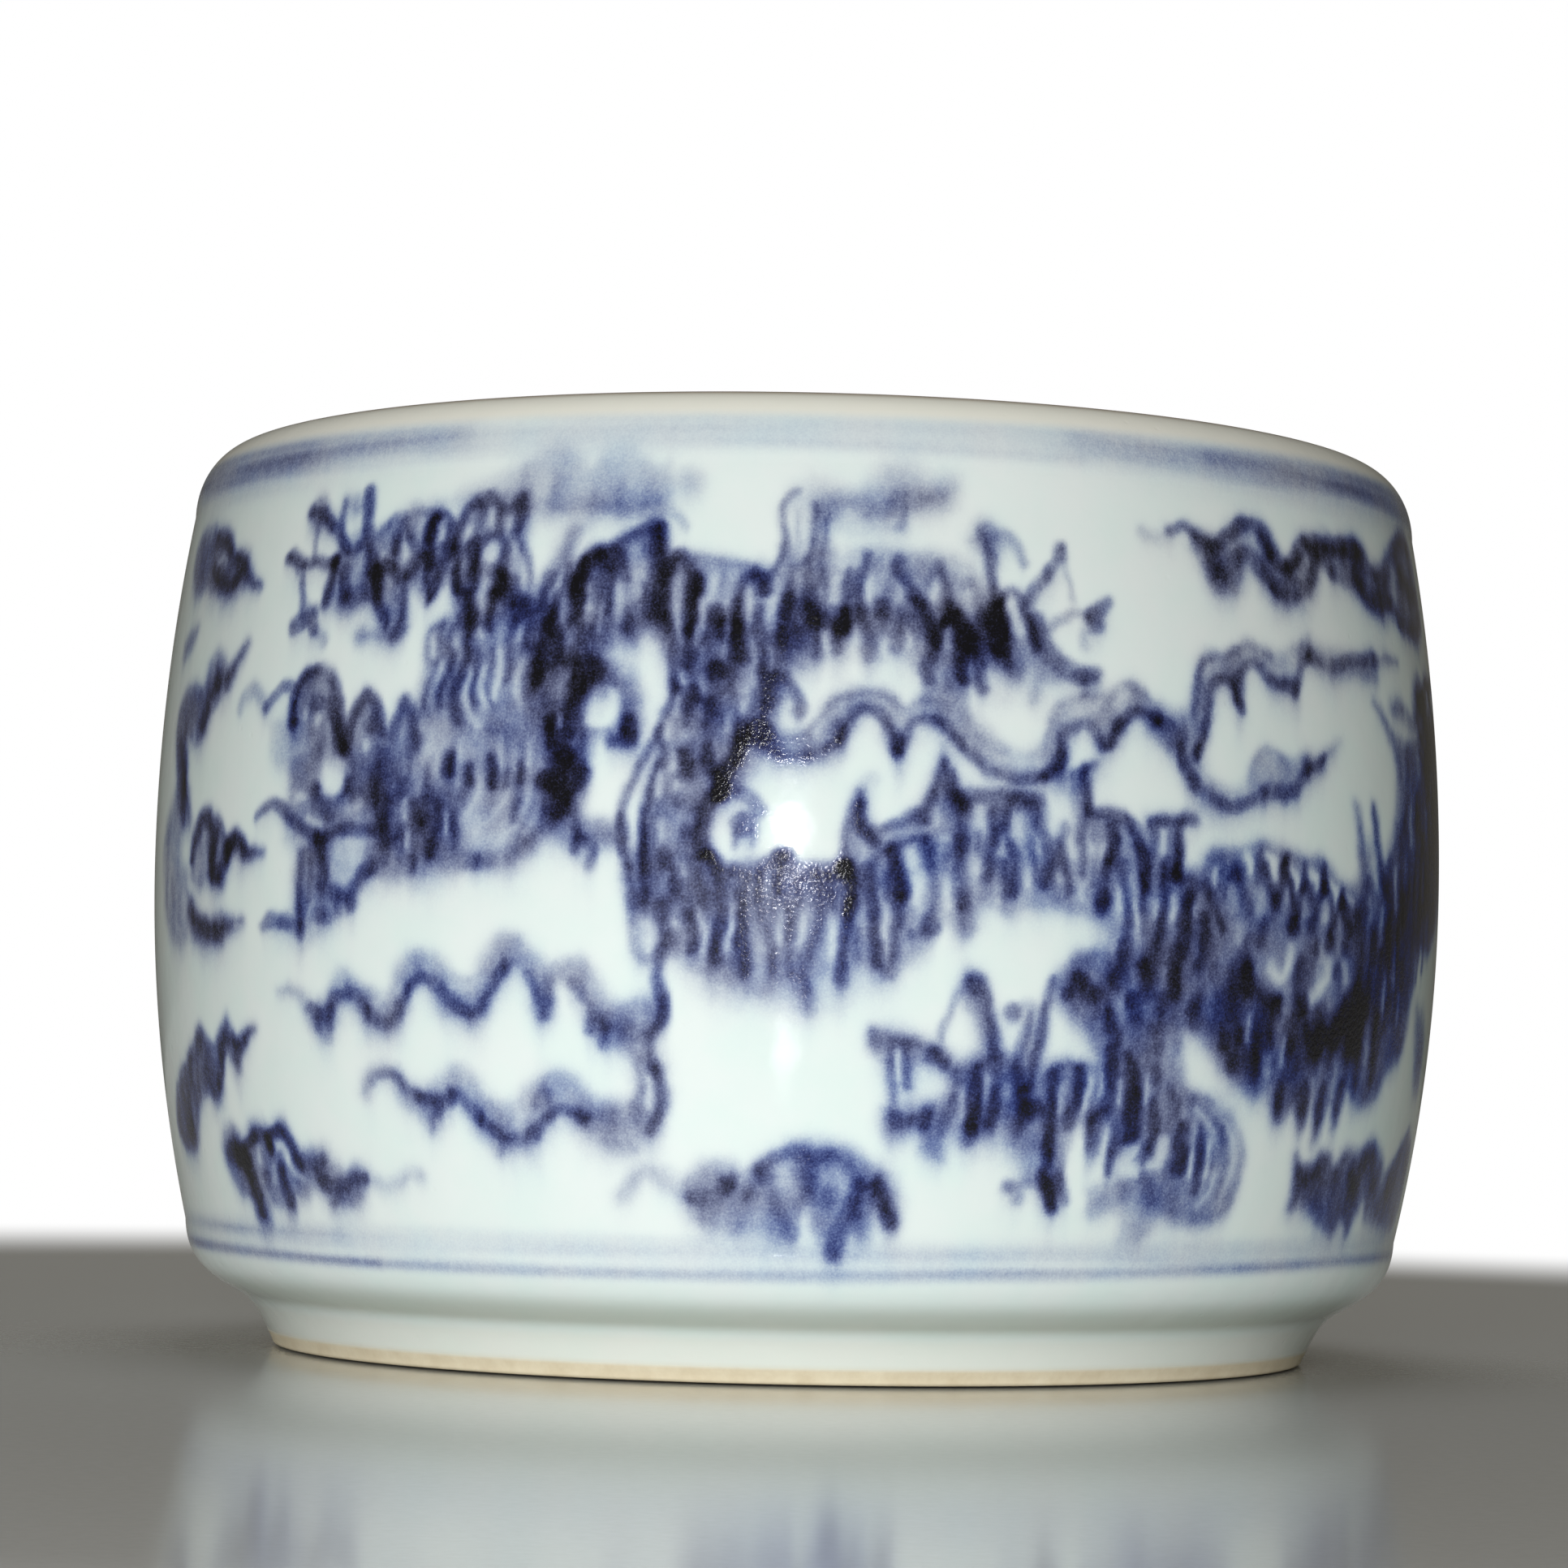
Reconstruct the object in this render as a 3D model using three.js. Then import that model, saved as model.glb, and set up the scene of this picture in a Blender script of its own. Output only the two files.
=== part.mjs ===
// A thrown porcelain cricket pot: a drum-shaped body on a turned foot, and a loose cover with an
// air vent that sits on a ledge sunk inside the mouth, below the rim.
// Millimetres, +Z up, origin at the middle of the foot's resting plane.
import * as THREE from "three";

// Body, outside. The shoulder and the heel stand in from the belly, and the lip's crest from the shoulder.
const rimHeight = 93;
const bellyDiameter = 135;
const bellyHeight = 50;
const shoulderInset = 3.2;
const lipHeight = 7.2;
const lipInset = 5.6;
const heelInset = 4.2;
const heelHeight = 12.8;

// How far the heel's curve runs out and up from the groove, and down and in from the drum's side
const heelSpread = 2.5;
const heelLift = 1.8;
const heelDrop = 4.6;
const heelLean = 0.2;

// Foot, which stands in from the heel and flares towards its top. The groove above it bends in at a
// share of its width and rise.
const footInset = 9.3;
const footFlare = 2.3;
const footHeight = 3.7;
const grooveWidth = 0.9;
const grooveRise = 0.6;
const grooveBendReach = 0.25;
const grooveBendLift = 0.75;
const footRingWidth = 4.6;
const footRecess = 2.6;
const footEdgeRadius = 0.5;
const recessFillet = 1.4;

// Body, inside
const wallThickness = 6.2;
const floorThickness = 6.4;
const floorFillet = 9;
const innerLipRadius = 2.2;

// Mouth and the ledge that carries the cover
const seatDepth = 8.4;
const ledgeWidth = 6;
const ledgeThickness = 3.8;
const ledgeNoseRadius = 1.2;
const ledgeFlareDrop = 9;

// Cover
const coverThickness = 4.2;
const coverDome = 1.5;
const coverEdgeRadius = 1.3;
const coverClearance = 0.6;
const seatGap = 0.3;
const spigotClearance = 0.9;
const spigotWidth = 4.4;
const spigotDepth = 3;
const spigotEdgeRadius = 0.8;
const ventDiameter = 9;
const ventCollarWidth = 4.2;
const ventCollarRise = 0.9;
const ventEdgeRadius = 1.1;

// Facets
const segmentsRound = 72;

// Sizes that follow from the ones above
const bellyRadius = bellyDiameter / 2;
const shoulderRadius = bellyRadius - shoulderInset;
const crestRadius = shoulderRadius - lipInset;
const heelRadius = bellyRadius - heelInset;
const footRadius = heelRadius - footInset;
const seatHeight = rimHeight - seatDepth;
const mouthRadius = crestRadius - innerLipRadius;
const ledgeRadius = mouthRadius - ledgeWidth;
const ledgeUnderside = seatHeight - ledgeThickness;
const floorHeight = footRecess + floorThickness;
const shoulderHeight = rimHeight - lipHeight;

const at = (radius, height) => new THREE.Vector2(radius, height);

// Points of an arc from one angle to another, in degrees, anticlockwise if the second is larger. It is
// part of an ellipse where its upright radius differs from the level one.
function arc(centre, radius, fromDegrees, toDegrees, steps, uprightRadius = radius) {
  const clockwise = toDegrees < fromDegrees;
  const from = THREE.MathUtils.degToRad(fromDegrees);
  const to = THREE.MathUtils.degToRad(toDegrees);
  const curve = new THREE.EllipseCurve(centre.x, centre.y, radius, uprightRadius, from, to, clockwise);
  return curve.getPoints(steps);
}

// The drum's side is two shallow arcs that meet upright at the belly. This is the radius of the arc that
// leaves the belly and stands in from it by the given inset at the given height.
function sideArcRadius(inset, height) {
  const rise = Math.abs(height - bellyHeight);
  return (rise * rise + inset * inset) / (2 * inset);
}

const upperArcRadius = sideArcRadius(shoulderInset, shoulderHeight);
const lowerArcRadius = sideArcRadius(heelInset, heelHeight);

// Points up or down the drum's side between two heights, moved in by an offset square to the wall.
function side(fromHeight, toHeight, offset, steps) {
  const points = [];
  for (let step = 0; step <= steps; step += 1) {
    const height = THREE.MathUtils.lerp(fromHeight, toHeight, step / steps);
    const arcRadius = height > bellyHeight ? upperArcRadius : lowerArcRadius;
    const rise = height - bellyHeight;
    const reach = arcRadius - offset;
    points.push(at(bellyRadius - arcRadius + Math.sqrt(reach * reach - rise * rise), height));
  }
  return points;
}

// Underside: the shallow recess, the flat ring that the pot stands on, and its softened edges.
function footRing() {
  const innerRadius = footRadius - footRingWidth;
  const recessCorner = at(innerRadius - recessFillet, footRecess - recessFillet);
  const innerEdge = at(innerRadius + footEdgeRadius, footEdgeRadius);
  const outerEdge = at(footRadius - footEdgeRadius, footEdgeRadius);
  return [
    at(0, footRecess),
    ...arc(recessCorner, recessFillet, 90, 0, 3),
    ...arc(innerEdge, footEdgeRadius, 180, 270, 2),
    ...arc(outerEdge, footEdgeRadius, 270, 360, 2),
  ];
}

// The foot flares up to a turned groove, and the heel swells out of the groove into the drum's side.
function heel() {
  const footTop = at(footRadius + footFlare, footHeight);
  const heelTop = at(heelRadius, heelHeight);
  const grooveEnd = at(footTop.x + grooveWidth, footTop.y + grooveRise);
  const grooveBend = at(
    footTop.x + grooveWidth * grooveBendReach,
    footTop.y + grooveRise * grooveBendLift,
  );
  const groove = new THREE.QuadraticBezierCurve(footTop, grooveBend, grooveEnd);
  const swell = new THREE.CubicBezierCurve(
    grooveEnd,
    at(grooveEnd.x + heelSpread, grooveEnd.y + heelLift),
    at(heelTop.x - heelLean, heelTop.y - heelDrop),
    heelTop,
  );
  return [...groove.getPoints(2), ...swell.getPoints(7).slice(1)];
}

// The lip rolls over from the shoulder, outside, to the mouth's upright wall, inside.
function lip() {
  const outer = arc(at(crestRadius, shoulderHeight), lipInset, 0, 90, 6, lipHeight);
  const inner = arc(at(crestRadius, rimHeight - innerLipRadius), innerLipRadius, 90, 180, 3);
  return [...outer, ...inner.slice(1)];
}

// The ledge's flat top carries the cover, and its underside flares out into the chamber.
function ledge() {
  const nose = at(ledgeRadius + ledgeNoseRadius, seatHeight - ledgeNoseRadius);
  return [
    at(mouthRadius, seatHeight),
    ...arc(nose, ledgeNoseRadius, 90, 180, 2),
    at(ledgeRadius, ledgeUnderside),
  ];
}

// The chamber's wall follows the drum's side down to a rounded corner and the flat floor.
function chamber() {
  const cornerHeight = floorHeight + floorFillet;
  const wall = side(ledgeUnderside - ledgeFlareDrop, cornerHeight, wallThickness, 7);
  const foot = wall[wall.length - 1];
  const corner = arc(at(foot.x - floorFillet, cornerHeight), floorFillet, 360, 270, 5);
  return [...wall, ...corner.slice(1), at(0, floorHeight)];
}

function bodyProfile() {
  return [
    ...footRing(),
    ...heel(),
    ...side(heelHeight, shoulderHeight, 0, 12).slice(1, -1),
    ...lip(),
    ...ledge(),
    ...chamber(),
  ];
}

// Underside of the cover, from the vent out: a flat disc, and the spigot that drops inside the ledge.
function coverUnderside(seat, vent) {
  const spigotOuter = ledgeRadius - spigotClearance;
  const spigotInner = spigotOuter - spigotWidth;
  const toeHeight = seat - spigotDepth + spigotEdgeRadius;
  return [
    ...arc(at(vent + ventEdgeRadius, seat + ventEdgeRadius), ventEdgeRadius, 180, 270, 2).slice(1),
    at(spigotInner, seat),
    ...arc(at(spigotInner + spigotEdgeRadius, toeHeight), spigotEdgeRadius, 180, 270, 2),
    ...arc(at(spigotOuter - spigotEdgeRadius, toeHeight), spigotEdgeRadius, 270, 360, 2),
    at(spigotOuter, seat),
  ];
}

// The cover is a low dome with a rounded edge. The vent in its middle runs through a raised collar.
function coverProfile() {
  const edge = mouthRadius - coverClearance;
  const brow = edge - coverEdgeRadius;
  const seat = seatHeight + seatGap;
  const top = seat + coverThickness;
  const domeTop = top + coverDome;
  const vent = ventDiameter / 2;
  const collar = vent + ventCollarWidth;
  const collarTop = domeTop + ventCollarRise;
  const ventWall = at(vent, seat + ventEdgeRadius);
  const dome = new THREE.QuadraticBezierCurve(
    at(brow, top),
    at((brow + collar) / 2, domeTop),
    at(collar, domeTop),
  );
  return [
    ventWall,
    ...coverUnderside(seat, vent),
    ...arc(at(brow, seat + coverEdgeRadius), coverEdgeRadius, 270, 360, 2),
    ...arc(at(brow, top - coverEdgeRadius), coverEdgeRadius, 0, 90, 3),
    ...dome.getPoints(5).slice(1),
    ...arc(at(collar - ventCollarRise, domeTop), ventCollarRise, 0, 90, 2).slice(1),
    ...arc(at(vent + ventEdgeRadius, collarTop - ventEdgeRadius), ventEdgeRadius, 90, 180, 2),
    ventWall,
  ];
}

// Spins a profile of (radius, height) points about the pot's axis.
function turned(name, profile, material) {
  const geometry = new THREE.LatheGeometry(profile, segmentsRound);
  geometry.rotateX(Math.PI / 2);
  const mesh = new THREE.Mesh(geometry, material);
  mesh.name = name;
  return mesh;
}

const glazedPorcelain = new THREE.MeshStandardMaterial({ color: 0xd5dfd8, roughness: 0.18, metalness: 0 });
const coverPorcelain = new THREE.MeshStandardMaterial({ color: 0xd8e0d9, roughness: 0.2, metalness: 0 });

const pot = new THREE.Group();
pot.add(turned("pot_body", bodyProfile(), glazedPorcelain));
pot.add(turned("cover", coverProfile(), coverPorcelain));

export default pot;
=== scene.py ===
import math

import bpy
import numpy as np
from mathutils import Matrix, Vector


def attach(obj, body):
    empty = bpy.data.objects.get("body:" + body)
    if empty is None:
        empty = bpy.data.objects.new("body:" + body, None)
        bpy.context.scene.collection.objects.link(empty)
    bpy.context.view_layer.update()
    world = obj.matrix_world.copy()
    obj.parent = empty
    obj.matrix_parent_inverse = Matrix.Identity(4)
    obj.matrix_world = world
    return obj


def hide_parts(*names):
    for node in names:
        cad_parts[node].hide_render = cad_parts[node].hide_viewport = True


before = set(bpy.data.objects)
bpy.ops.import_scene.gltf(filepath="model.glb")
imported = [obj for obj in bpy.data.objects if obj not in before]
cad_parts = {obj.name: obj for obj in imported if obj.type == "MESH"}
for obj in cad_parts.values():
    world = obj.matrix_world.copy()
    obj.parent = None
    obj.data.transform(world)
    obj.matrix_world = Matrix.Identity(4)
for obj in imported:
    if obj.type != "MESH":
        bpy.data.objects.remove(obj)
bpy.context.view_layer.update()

MM = 0.001
BELLY_RADIUS = 67.5
BELLY_HEIGHT = 50.0
RIM_HEIGHT = 93.0
rng = np.random.default_rng(7)


# Brushwork. The paper is the drum's side laid flat: u runs round it in mm at the belly's radius, to the
# right of the front, and z is the height.
PAPER_STEP = 0.2
PAPER_LEFT = -0.5 * math.pi * BELLY_RADIUS
PAPER_ROUND = 2 * math.pi * BELLY_RADIUS

# The cover's paper is unrolled at this radius
COVER_MIDDLE = 36.0
COVER_ROUND = 2 * math.pi * COVER_MIDDLE

# The step along a smooth stroke, and how far its soft edge is drawn, in widths of that edge
SMOOTH_STEP = 0.35
EDGE_REACH = 5
TINY = 1e-9


def smooth_path(points):
    """A smooth curve through points of (u, z) or (u, z, width factor)."""
    stops = np.array([(point + (1.0,))[:3] for point in points])
    if len(stops) == 2:
        middle = (stops[0] + stops[1]) / 2
        stops = np.array([stops[0], middle, stops[1]])
    ends = np.vstack([2 * stops[0] - stops[1], stops, 2 * stops[-1] - stops[-2]])
    path = []
    for before, start, end, after in zip(ends[:-3], ends[1:-2], ends[2:-1], ends[3:]):
        count = max(1, math.ceil(np.hypot(*(end - start)[:2]) / SMOOTH_STEP))
        t = np.linspace(0.0, 1.0, count, endpoint=False)[:, None]
        bend = 2 * before - 5 * start + 4 * end - after
        turn = 3 * start - before - 3 * end + after
        path.append(start + 0.5 * ((end - before) * t + bend * t**2 + turn * t**3))
    path.append(stops[-1:])
    return np.vstack(path)


class Paper:
    """A sheet that gathers cobalt from brush strokes. Each stroke is placed by the sheet's shift."""

    def __init__(self, left, right, bottom, top, step):
        self.step = step
        self.u = np.arange(left, right, step)
        self.z = np.arange(bottom, top, step)
        self.ink = np.zeros((len(self.z), len(self.u)))
        self.shift = (0.0, 0.0, 1.0)

    def path(self, points):
        across, up, flip = self.shift
        return smooth_path([(across + flip * point[0], up + point[1]) + point[2:] for point in points])

    def window(self, path, reach):
        columns = np.searchsorted(self.u, [path[:, 0].min() - reach, path[:, 0].max() + reach])
        rows = np.searchsorted(self.z, [path[:, 1].min() - reach, path[:, 1].max() + reach])
        return slice(*rows), slice(*columns)

    def distance(self, path, rows, columns):
        """How far each place in the window is from the path, and the path's width factor there."""
        z, u = np.meshgrid(self.z[rows], self.u[columns], indexing="ij")
        nearest = np.full(z.shape, np.inf)
        width = np.ones(z.shape)
        for start, end in zip(path[:-1], path[1:]):
            across, up = (end - start)[:2]
            length = across * across + up * up + TINY
            t = np.clip(((u - start[0]) * across + (z - start[1]) * up) / length, 0, 1)
            away = np.hypot(u - start[0] - t * across, z - start[1] - t * up)
            closer = away < nearest
            nearest = np.where(closer, away, nearest)
            width = np.where(closer, start[2] + t * (end[2] - start[2]), width)
        return nearest, width

    def stroke(self, width, points, soft):
        path = self.path(points)
        rows, columns = self.window(path, 0.5 * width * path[:, 2].max() + EDGE_REACH * soft)
        away, factor = self.distance(path, rows, columns)
        return rows, columns, 1 / (1 + np.exp((away - 0.5 * width * factor) / soft))

    def line(self, load, width, *points, soft=0.15):
        rows, columns, cover = self.stroke(width, points, soft)
        self.ink[rows, columns] += load * cover

    def wipe(self, share, width, *points, soft=0.15):
        rows, columns, cover = self.stroke(width, points, soft)
        self.ink[rows, columns] *= 1 - share * cover

    def wash(self, load, *points, soft=0.35):
        """Fills the closed outline through the points."""
        path = self.path(points + points[:1])
        rows, columns = self.window(path, EDGE_REACH * soft)
        away, _ = self.distance(path, rows, columns)
        z, u = np.meshgrid(self.z[rows], self.u[columns], indexing="ij")
        inside = np.zeros(z.shape, dtype=bool)
        for start, end in zip(path[:-1], path[1:]):
            crosses = (start[1] > z) != (end[1] > z)
            reach = start[0] + (z - start[1]) / (end[1] - start[1] + TINY) * (end[0] - start[0])
            inside ^= crosses & (u < reach)
        away = np.where(inside, -away, away)
        self.ink[rows, columns] += load / (1 + np.exp(away / soft))

    def drops(self, draw, load, width, height, centres, soft):
        """Upright drops, at centres of (u, z) or (u, z, size factor)."""
        for centre in centres:
            size = centre[2] if len(centre) > 2 else 1.0
            half = 0.5 * max(height - width, 0.02) * size
            draw(load, width * size, (centre[0], centre[1] + half), (centre[0], centre[1] - half), soft=soft)

    def dabs(self, load, width, height, *centres, soft=0.15):
        self.drops(self.line, load, width, height, centres, soft)

    def gaps(self, share, width, height, *centres, soft=0.15):
        self.drops(self.wipe, share, width, height, centres, soft)


# The dragon, its flames and the clouds, from the left of the front round to the back


def raised_claw(p):
    p.wash(0.95, (-50.2, 79), (-47.5, 80.2), (-45.6, 78), (-44.6, 75), (-44.8, 73.2), (-47.2, 72.6),
        (-49.6, 72.2), (-51, 73.6), (-50.5, 76.8))
    p.wash(1.3, (-55.8, 83), (-54.6, 83.8), (-53.2, 82.4), (-51.5, 81.2), (-52.5, 80.6), (-55.2, 81.2))
    p.wash(0.91, (-50.8, 83.4), (-49.4, 83.6), (-48.2, 83), (-48.4, 82), (-50, 82.2), (-50.6, 81))
    p.wipe(0.5, 0.8, (-46.9, 78.6), (-47, 77.4), (-47.2, 76.4))
    p.wipe(0.5, 0.6, (-47.7, 75.6), (-47.8, 74.6))
    p.line(1.9, 1.1, (-58.6, 78.2), (-57.3, 77.7), (-55.4, 77.3), (-53.4, 77.6), (-52, 77.2), (-50.6, 77.3))
    p.line(1.58, 1.3, (-57.9, 78.5), (-57.1, 77.9), (-56.7, 76.6, 0.5))
    p.line(1.74, 1.2, (-55.7, 82.4), (-54.4, 82), (-53, 81.4), (-51.4, 80.7), (-50.3, 79.7), (-49.2, 78.4))
    p.line(1.1, 0.8, (-54.6, 81.2), (-54.4, 79.6), (-54.3, 78))
    p.line(1.18, 0.9, (-50.5, 82.9), (-50.6, 81.2), (-50.2, 79.8))
    p.line(1.66, 1.3, (-47.2, 84), (-46.9, 82.2), (-46.4, 80.2), (-45.9, 78.6), (-45.4, 77.2), (-45.5, 76))
    p.line(1.2, 0.9, (-55.9, 77), (-55.6, 75.6), (-55.3, 74), (-55.2, 72.8))
    p.line(1.66, 1.6, (-56.2, 71.3), (-54.8, 71.9), (-53.6, 72.2), (-52.9, 71.2, 0.8))
    p.line(0.9, 1, (-54.2, 73.2), (-53, 72.8))
    p.line(0.8, 0.8, (-52.4, 70.8), (-51.6, 70.2), (-51.3, 69.6))
    p.line(2.38, 1.4, (-50.7, 77.3), (-51.1, 75.8), (-51.4, 74.6), (-51.7, 73.4, 0.8))
    p.line(1.42, 1.7, (-49.1, 76), (-48.9, 74.6), (-49, 73.8))
    p.line(1.26, 1.2, (-49.8, 78.8), (-48.6, 78), (-47.4, 78.7))
    p.line(0.9, 1.6, (-48, 73.6), (-46.2, 74.2), (-45, 73.8))


def raised_arm(p):
    p.wash(0.9, (-45.4, 79.4), (-43.6, 80.8), (-41, 81.6), (-38, 81.6), (-35.6, 80.6), (-33.8, 82.2),
        (-31, 83), (-28.4, 83), (-27.4, 80.4), (-27.6, 76.6), (-28, 71.6), (-31, 70.4), (-34.4, 71.4),
        (-35.6, 74.6), (-38, 73.4), (-40.4, 74.6), (-40.6, 71.6), (-43.4, 71.2), (-44.8, 74))
    p.wash(0.35, (-42, 82.4), (-36, 82.9), (-31, 85), (-28, 85.4), (-28.2, 82.6), (-34, 81.8))
    p.gaps(0.75, 0.9, 2, (-41.2, 78.3))
    p.gaps(0.7, 0.8, 1.5, (-37.1, 79.1), (-44.2, 77.5, 0.7), (-39.6, 80.7, 0.7))
    p.gaps(0.85, 0.95, 1.9, (-33.9, 79.2), (-31.9, 80.9, 0.8), (-29.5, 80.3, 0.75))
    p.gaps(0.85, 2, 2.2, (-31.1, 77.2))
    p.gaps(0.45, 0.9, 3.4, (-31.7, 73.2))
    p.gaps(0.6, 0.7, 1.4, (-34, 76.2), (-35.3, 75.9, 0.7), (-28.6, 77.4))
    p.line(0.8, 0.9, (-45, 79.8), (-43.5, 80.8), (-42, 81.3), (-40, 81.7), (-38.2, 81.5), (-36.8, 80.9),
        (-36.2, 79.8))
    p.line(1.5, 1, (-42.7, 78.2), (-42.4, 79.7), (-41.8, 80.7), (-41.2, 80.3), (-40.7, 79.4))
    p.line(2.06, 1.3, (-38.4, 80.6), (-38.4, 79.4))
    p.line(1.2, 0.9, (-38.2, 80.9), (-37.2, 81), (-36.6, 80.4), (-36.3, 79.4))
    p.line(1.74, 1.4, (-44.9, 75.4), (-44.4, 76.5), (-43.4, 76.6), (-42.4, 76.1), (-41.8, 75.3, 0.8))
    p.line(1.74, 1.3, (-44.7, 76), (-44.4, 74), (-44, 72.8), (-43.3, 71.6), (-42.8, 71, 0.7))
    p.line(1.66, 1.5, (-40.6, 76), (-39.9, 76.8), (-38.9, 77.2), (-38.2, 76.5))
    p.line(1, 1.6, (-39.6, 78.2), (-38.4, 78))
    p.line(1.18, 0.7, (-40.9, 76), (-40.8, 74.2), (-40.7, 72.6), (-40.7, 71.6))
    p.line(1.58, 1.1, (-36, 77.6), (-36.8, 76), (-37.4, 74.6), (-37.8, 73.4), (-38, 72.9, 0.6))
    p.line(1.2, 0.8, (-38.6, 76.2), (-38.4, 74.6), (-37.9, 73.4))
    p.line(1.74, 1.4, (-36.5, 78.2), (-35.5, 78), (-34.9, 76.8))
    p.line(1.34, 0.9, (-35.3, 78), (-35.1, 79.8), (-34.5, 81.2), (-33.4, 82.2))
    p.line(1.18, 1.3, (-33.6, 82), (-32.2, 82.8), (-31, 82.2), (-30.2, 81.6), (-29.2, 82), (-28.5, 82.8))
    p.line(1.2, 0.9, (-32.9, 81.6), (-32.9, 80), (-33, 78.6))
    p.line(1.2, 0.9, (-31, 82), (-30.9, 80.4), (-30.7, 79.2))
    p.line(1.66, 1.2, (-28.6, 82.4), (-28.4, 81), (-28.6, 79.6))
    p.line(1.26, 1, (-32.9, 75.6), (-32.8, 77.2), (-32.1, 78.4), (-31.1, 78.8), (-30, 78.2), (-29.5, 76.8),
        (-29.4, 75.4))
    p.line(0.7, 1, (-32.4, 75.8), (-31.2, 75.5), (-30, 75.9))
    p.line(2.06, 1.3, (-33.4, 78.2), (-33.2, 76), (-33.2, 74), (-33.4, 72.4), (-33.7, 70.9))
    p.line(2.54, 1.3, (-34.9, 75.4), (-34.6, 74))
    p.line(1.58, 1.5, (-33.9, 73.2), (-32.9, 72), (-32.4, 70.9))
    p.line(2.54, 1.5, (-29.9, 74.9), (-30, 73.6))
    p.line(1.9, 1, (-30.5, 73.2), (-30.7, 71.8), (-30.8, 70.4))
    p.line(1.42, 1.4, (-28.7, 74.6), (-28.6, 72.6))
    p.wash(1.17, (-46.7, 70), (-45.6, 70.5), (-44.5, 70), (-43.2, 70.8), (-42, 70.6), (-40.8, 71.4),
        (-40.2, 70.4), (-41.2, 69.3), (-44, 69.5), (-46.4, 69.2))
    p.line(1, 1.3, (-41.6, 69.9), (-40.7, 70.6))


def brow(p):
    p.line(1.18, 1.1, (-60, 63.5), (-58.5, 64.5), (-57, 65.4), (-55.5, 65.3), (-54.7, 64.8))
    p.wash(1.35, (-55.2, 62), (-54.6, 65), (-52.4, 67), (-50.2, 66.4), (-48.4, 63.6), (-47.2, 60),
        (-46, 63), (-44.4, 64.4), (-42.8, 62.4), (-41.6, 60.6), (-40.4, 63.2), (-39, 62.8), (-38.2, 60),
        (-38, 56), (-41.5, 53), (-46.5, 54), (-46.4, 58), (-50.4, 58.2), (-51.8, 59.6), (-54, 59.8))
    p.line(1.66, 1.1, (-55, 62), (-55, 64), (-54, 65.8), (-52, 67), (-50.5, 66.8), (-49, 65.2), (-47.8, 63),
        (-47.3, 61), (-47.2, 59))
    p.line(1.2, 1.4, (-51.8, 63.3), (-50.4, 63.8), (-49.2, 62.8), (-48.2, 61.2), (-47.9, 59.5))
    p.line(1.74, 1.2, (-46.9, 59), (-46.2, 61.5), (-45.3, 63.4), (-44.4, 64.3), (-43.5, 63.6), (-42.6, 62),
        (-42.2, 60.3))
    p.line(1.42, 1.2, (-40.8, 60), (-40.3, 62.5), (-39.7, 63.5), (-39.1, 62.6), (-38.4, 60.8), (-38, 59.5))
    p.line(1.1, 1.3, (-42.2, 58.5), (-42.5, 56.4), (-42.4, 54.2))
    p.dabs(1.9, 1, 3, (-54.8, 62.5))
    p.dabs(1.42, 1.4, 1.8, (-43.8, 61.3))
    p.wash(0.35, (-58.6, 62), (-55.6, 62), (-54, 58), (-57.6, 57.6))
    p.gaps(0.8, 0.9, 1.5, (-51.2, 62), (-44.2, 59.2), (-39.2, 57.3), (-53, 62.4, 0.6), (-46.2, 57, 0.7))


def muzzle(p):
    p.wash(1.1, (-54.8, 58), (-52, 59.2), (-50.6, 58), (-50.2, 55.6), (-48.4, 54.4), (-46.4, 55.4),
        (-46.2, 58), (-42.6, 57), (-42, 51.6), (-47, 51), (-51, 50.8), (-54.4, 52.4), (-55, 55.4))
    p.wipe(0.8, 1, (-53.6, 54.4), (-52.6, 54.6))
    p.wipe(0.75, 0.9, (-51.4, 52.4), (-50.6, 52), (-49.8, 51.8))
    p.wipe(0.6, 1.2, (-46.6, 54.4), (-46, 53.4), (-44.4, 53.6))
    p.line(1.2, 1.4, (-50.6, 55.2), (-50.4, 53.8), (-49.2, 53.1), (-48.4, 52.8))
    p.line(1.18, 0.8, (-50.8, 55.8), (-50, 54.4), (-48.2, 54.1), (-46.8, 54.8), (-46.3, 56.4))
    p.line(1.74, 1.2, (-60, 52.9, 0.6), (-58.5, 53.6, 0.8), (-57, 53.9), (-55.6, 53.3), (-54.4, 52.3),
        (-53, 51.6), (-51.5, 50.9), (-50, 50.5), (-48.5, 51), (-46.5, 51.4), (-44.5, 51.2), (-42.5, 51.4),
        (-41.5, 52.4))
    p.line(0.5, 1, (-60, 49.2), (-58.6, 49.4))
    p.wash(0.35, (-55, 51.6), (-53, 50.8), (-53.4, 49.8), (-55, 50.2))


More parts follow.
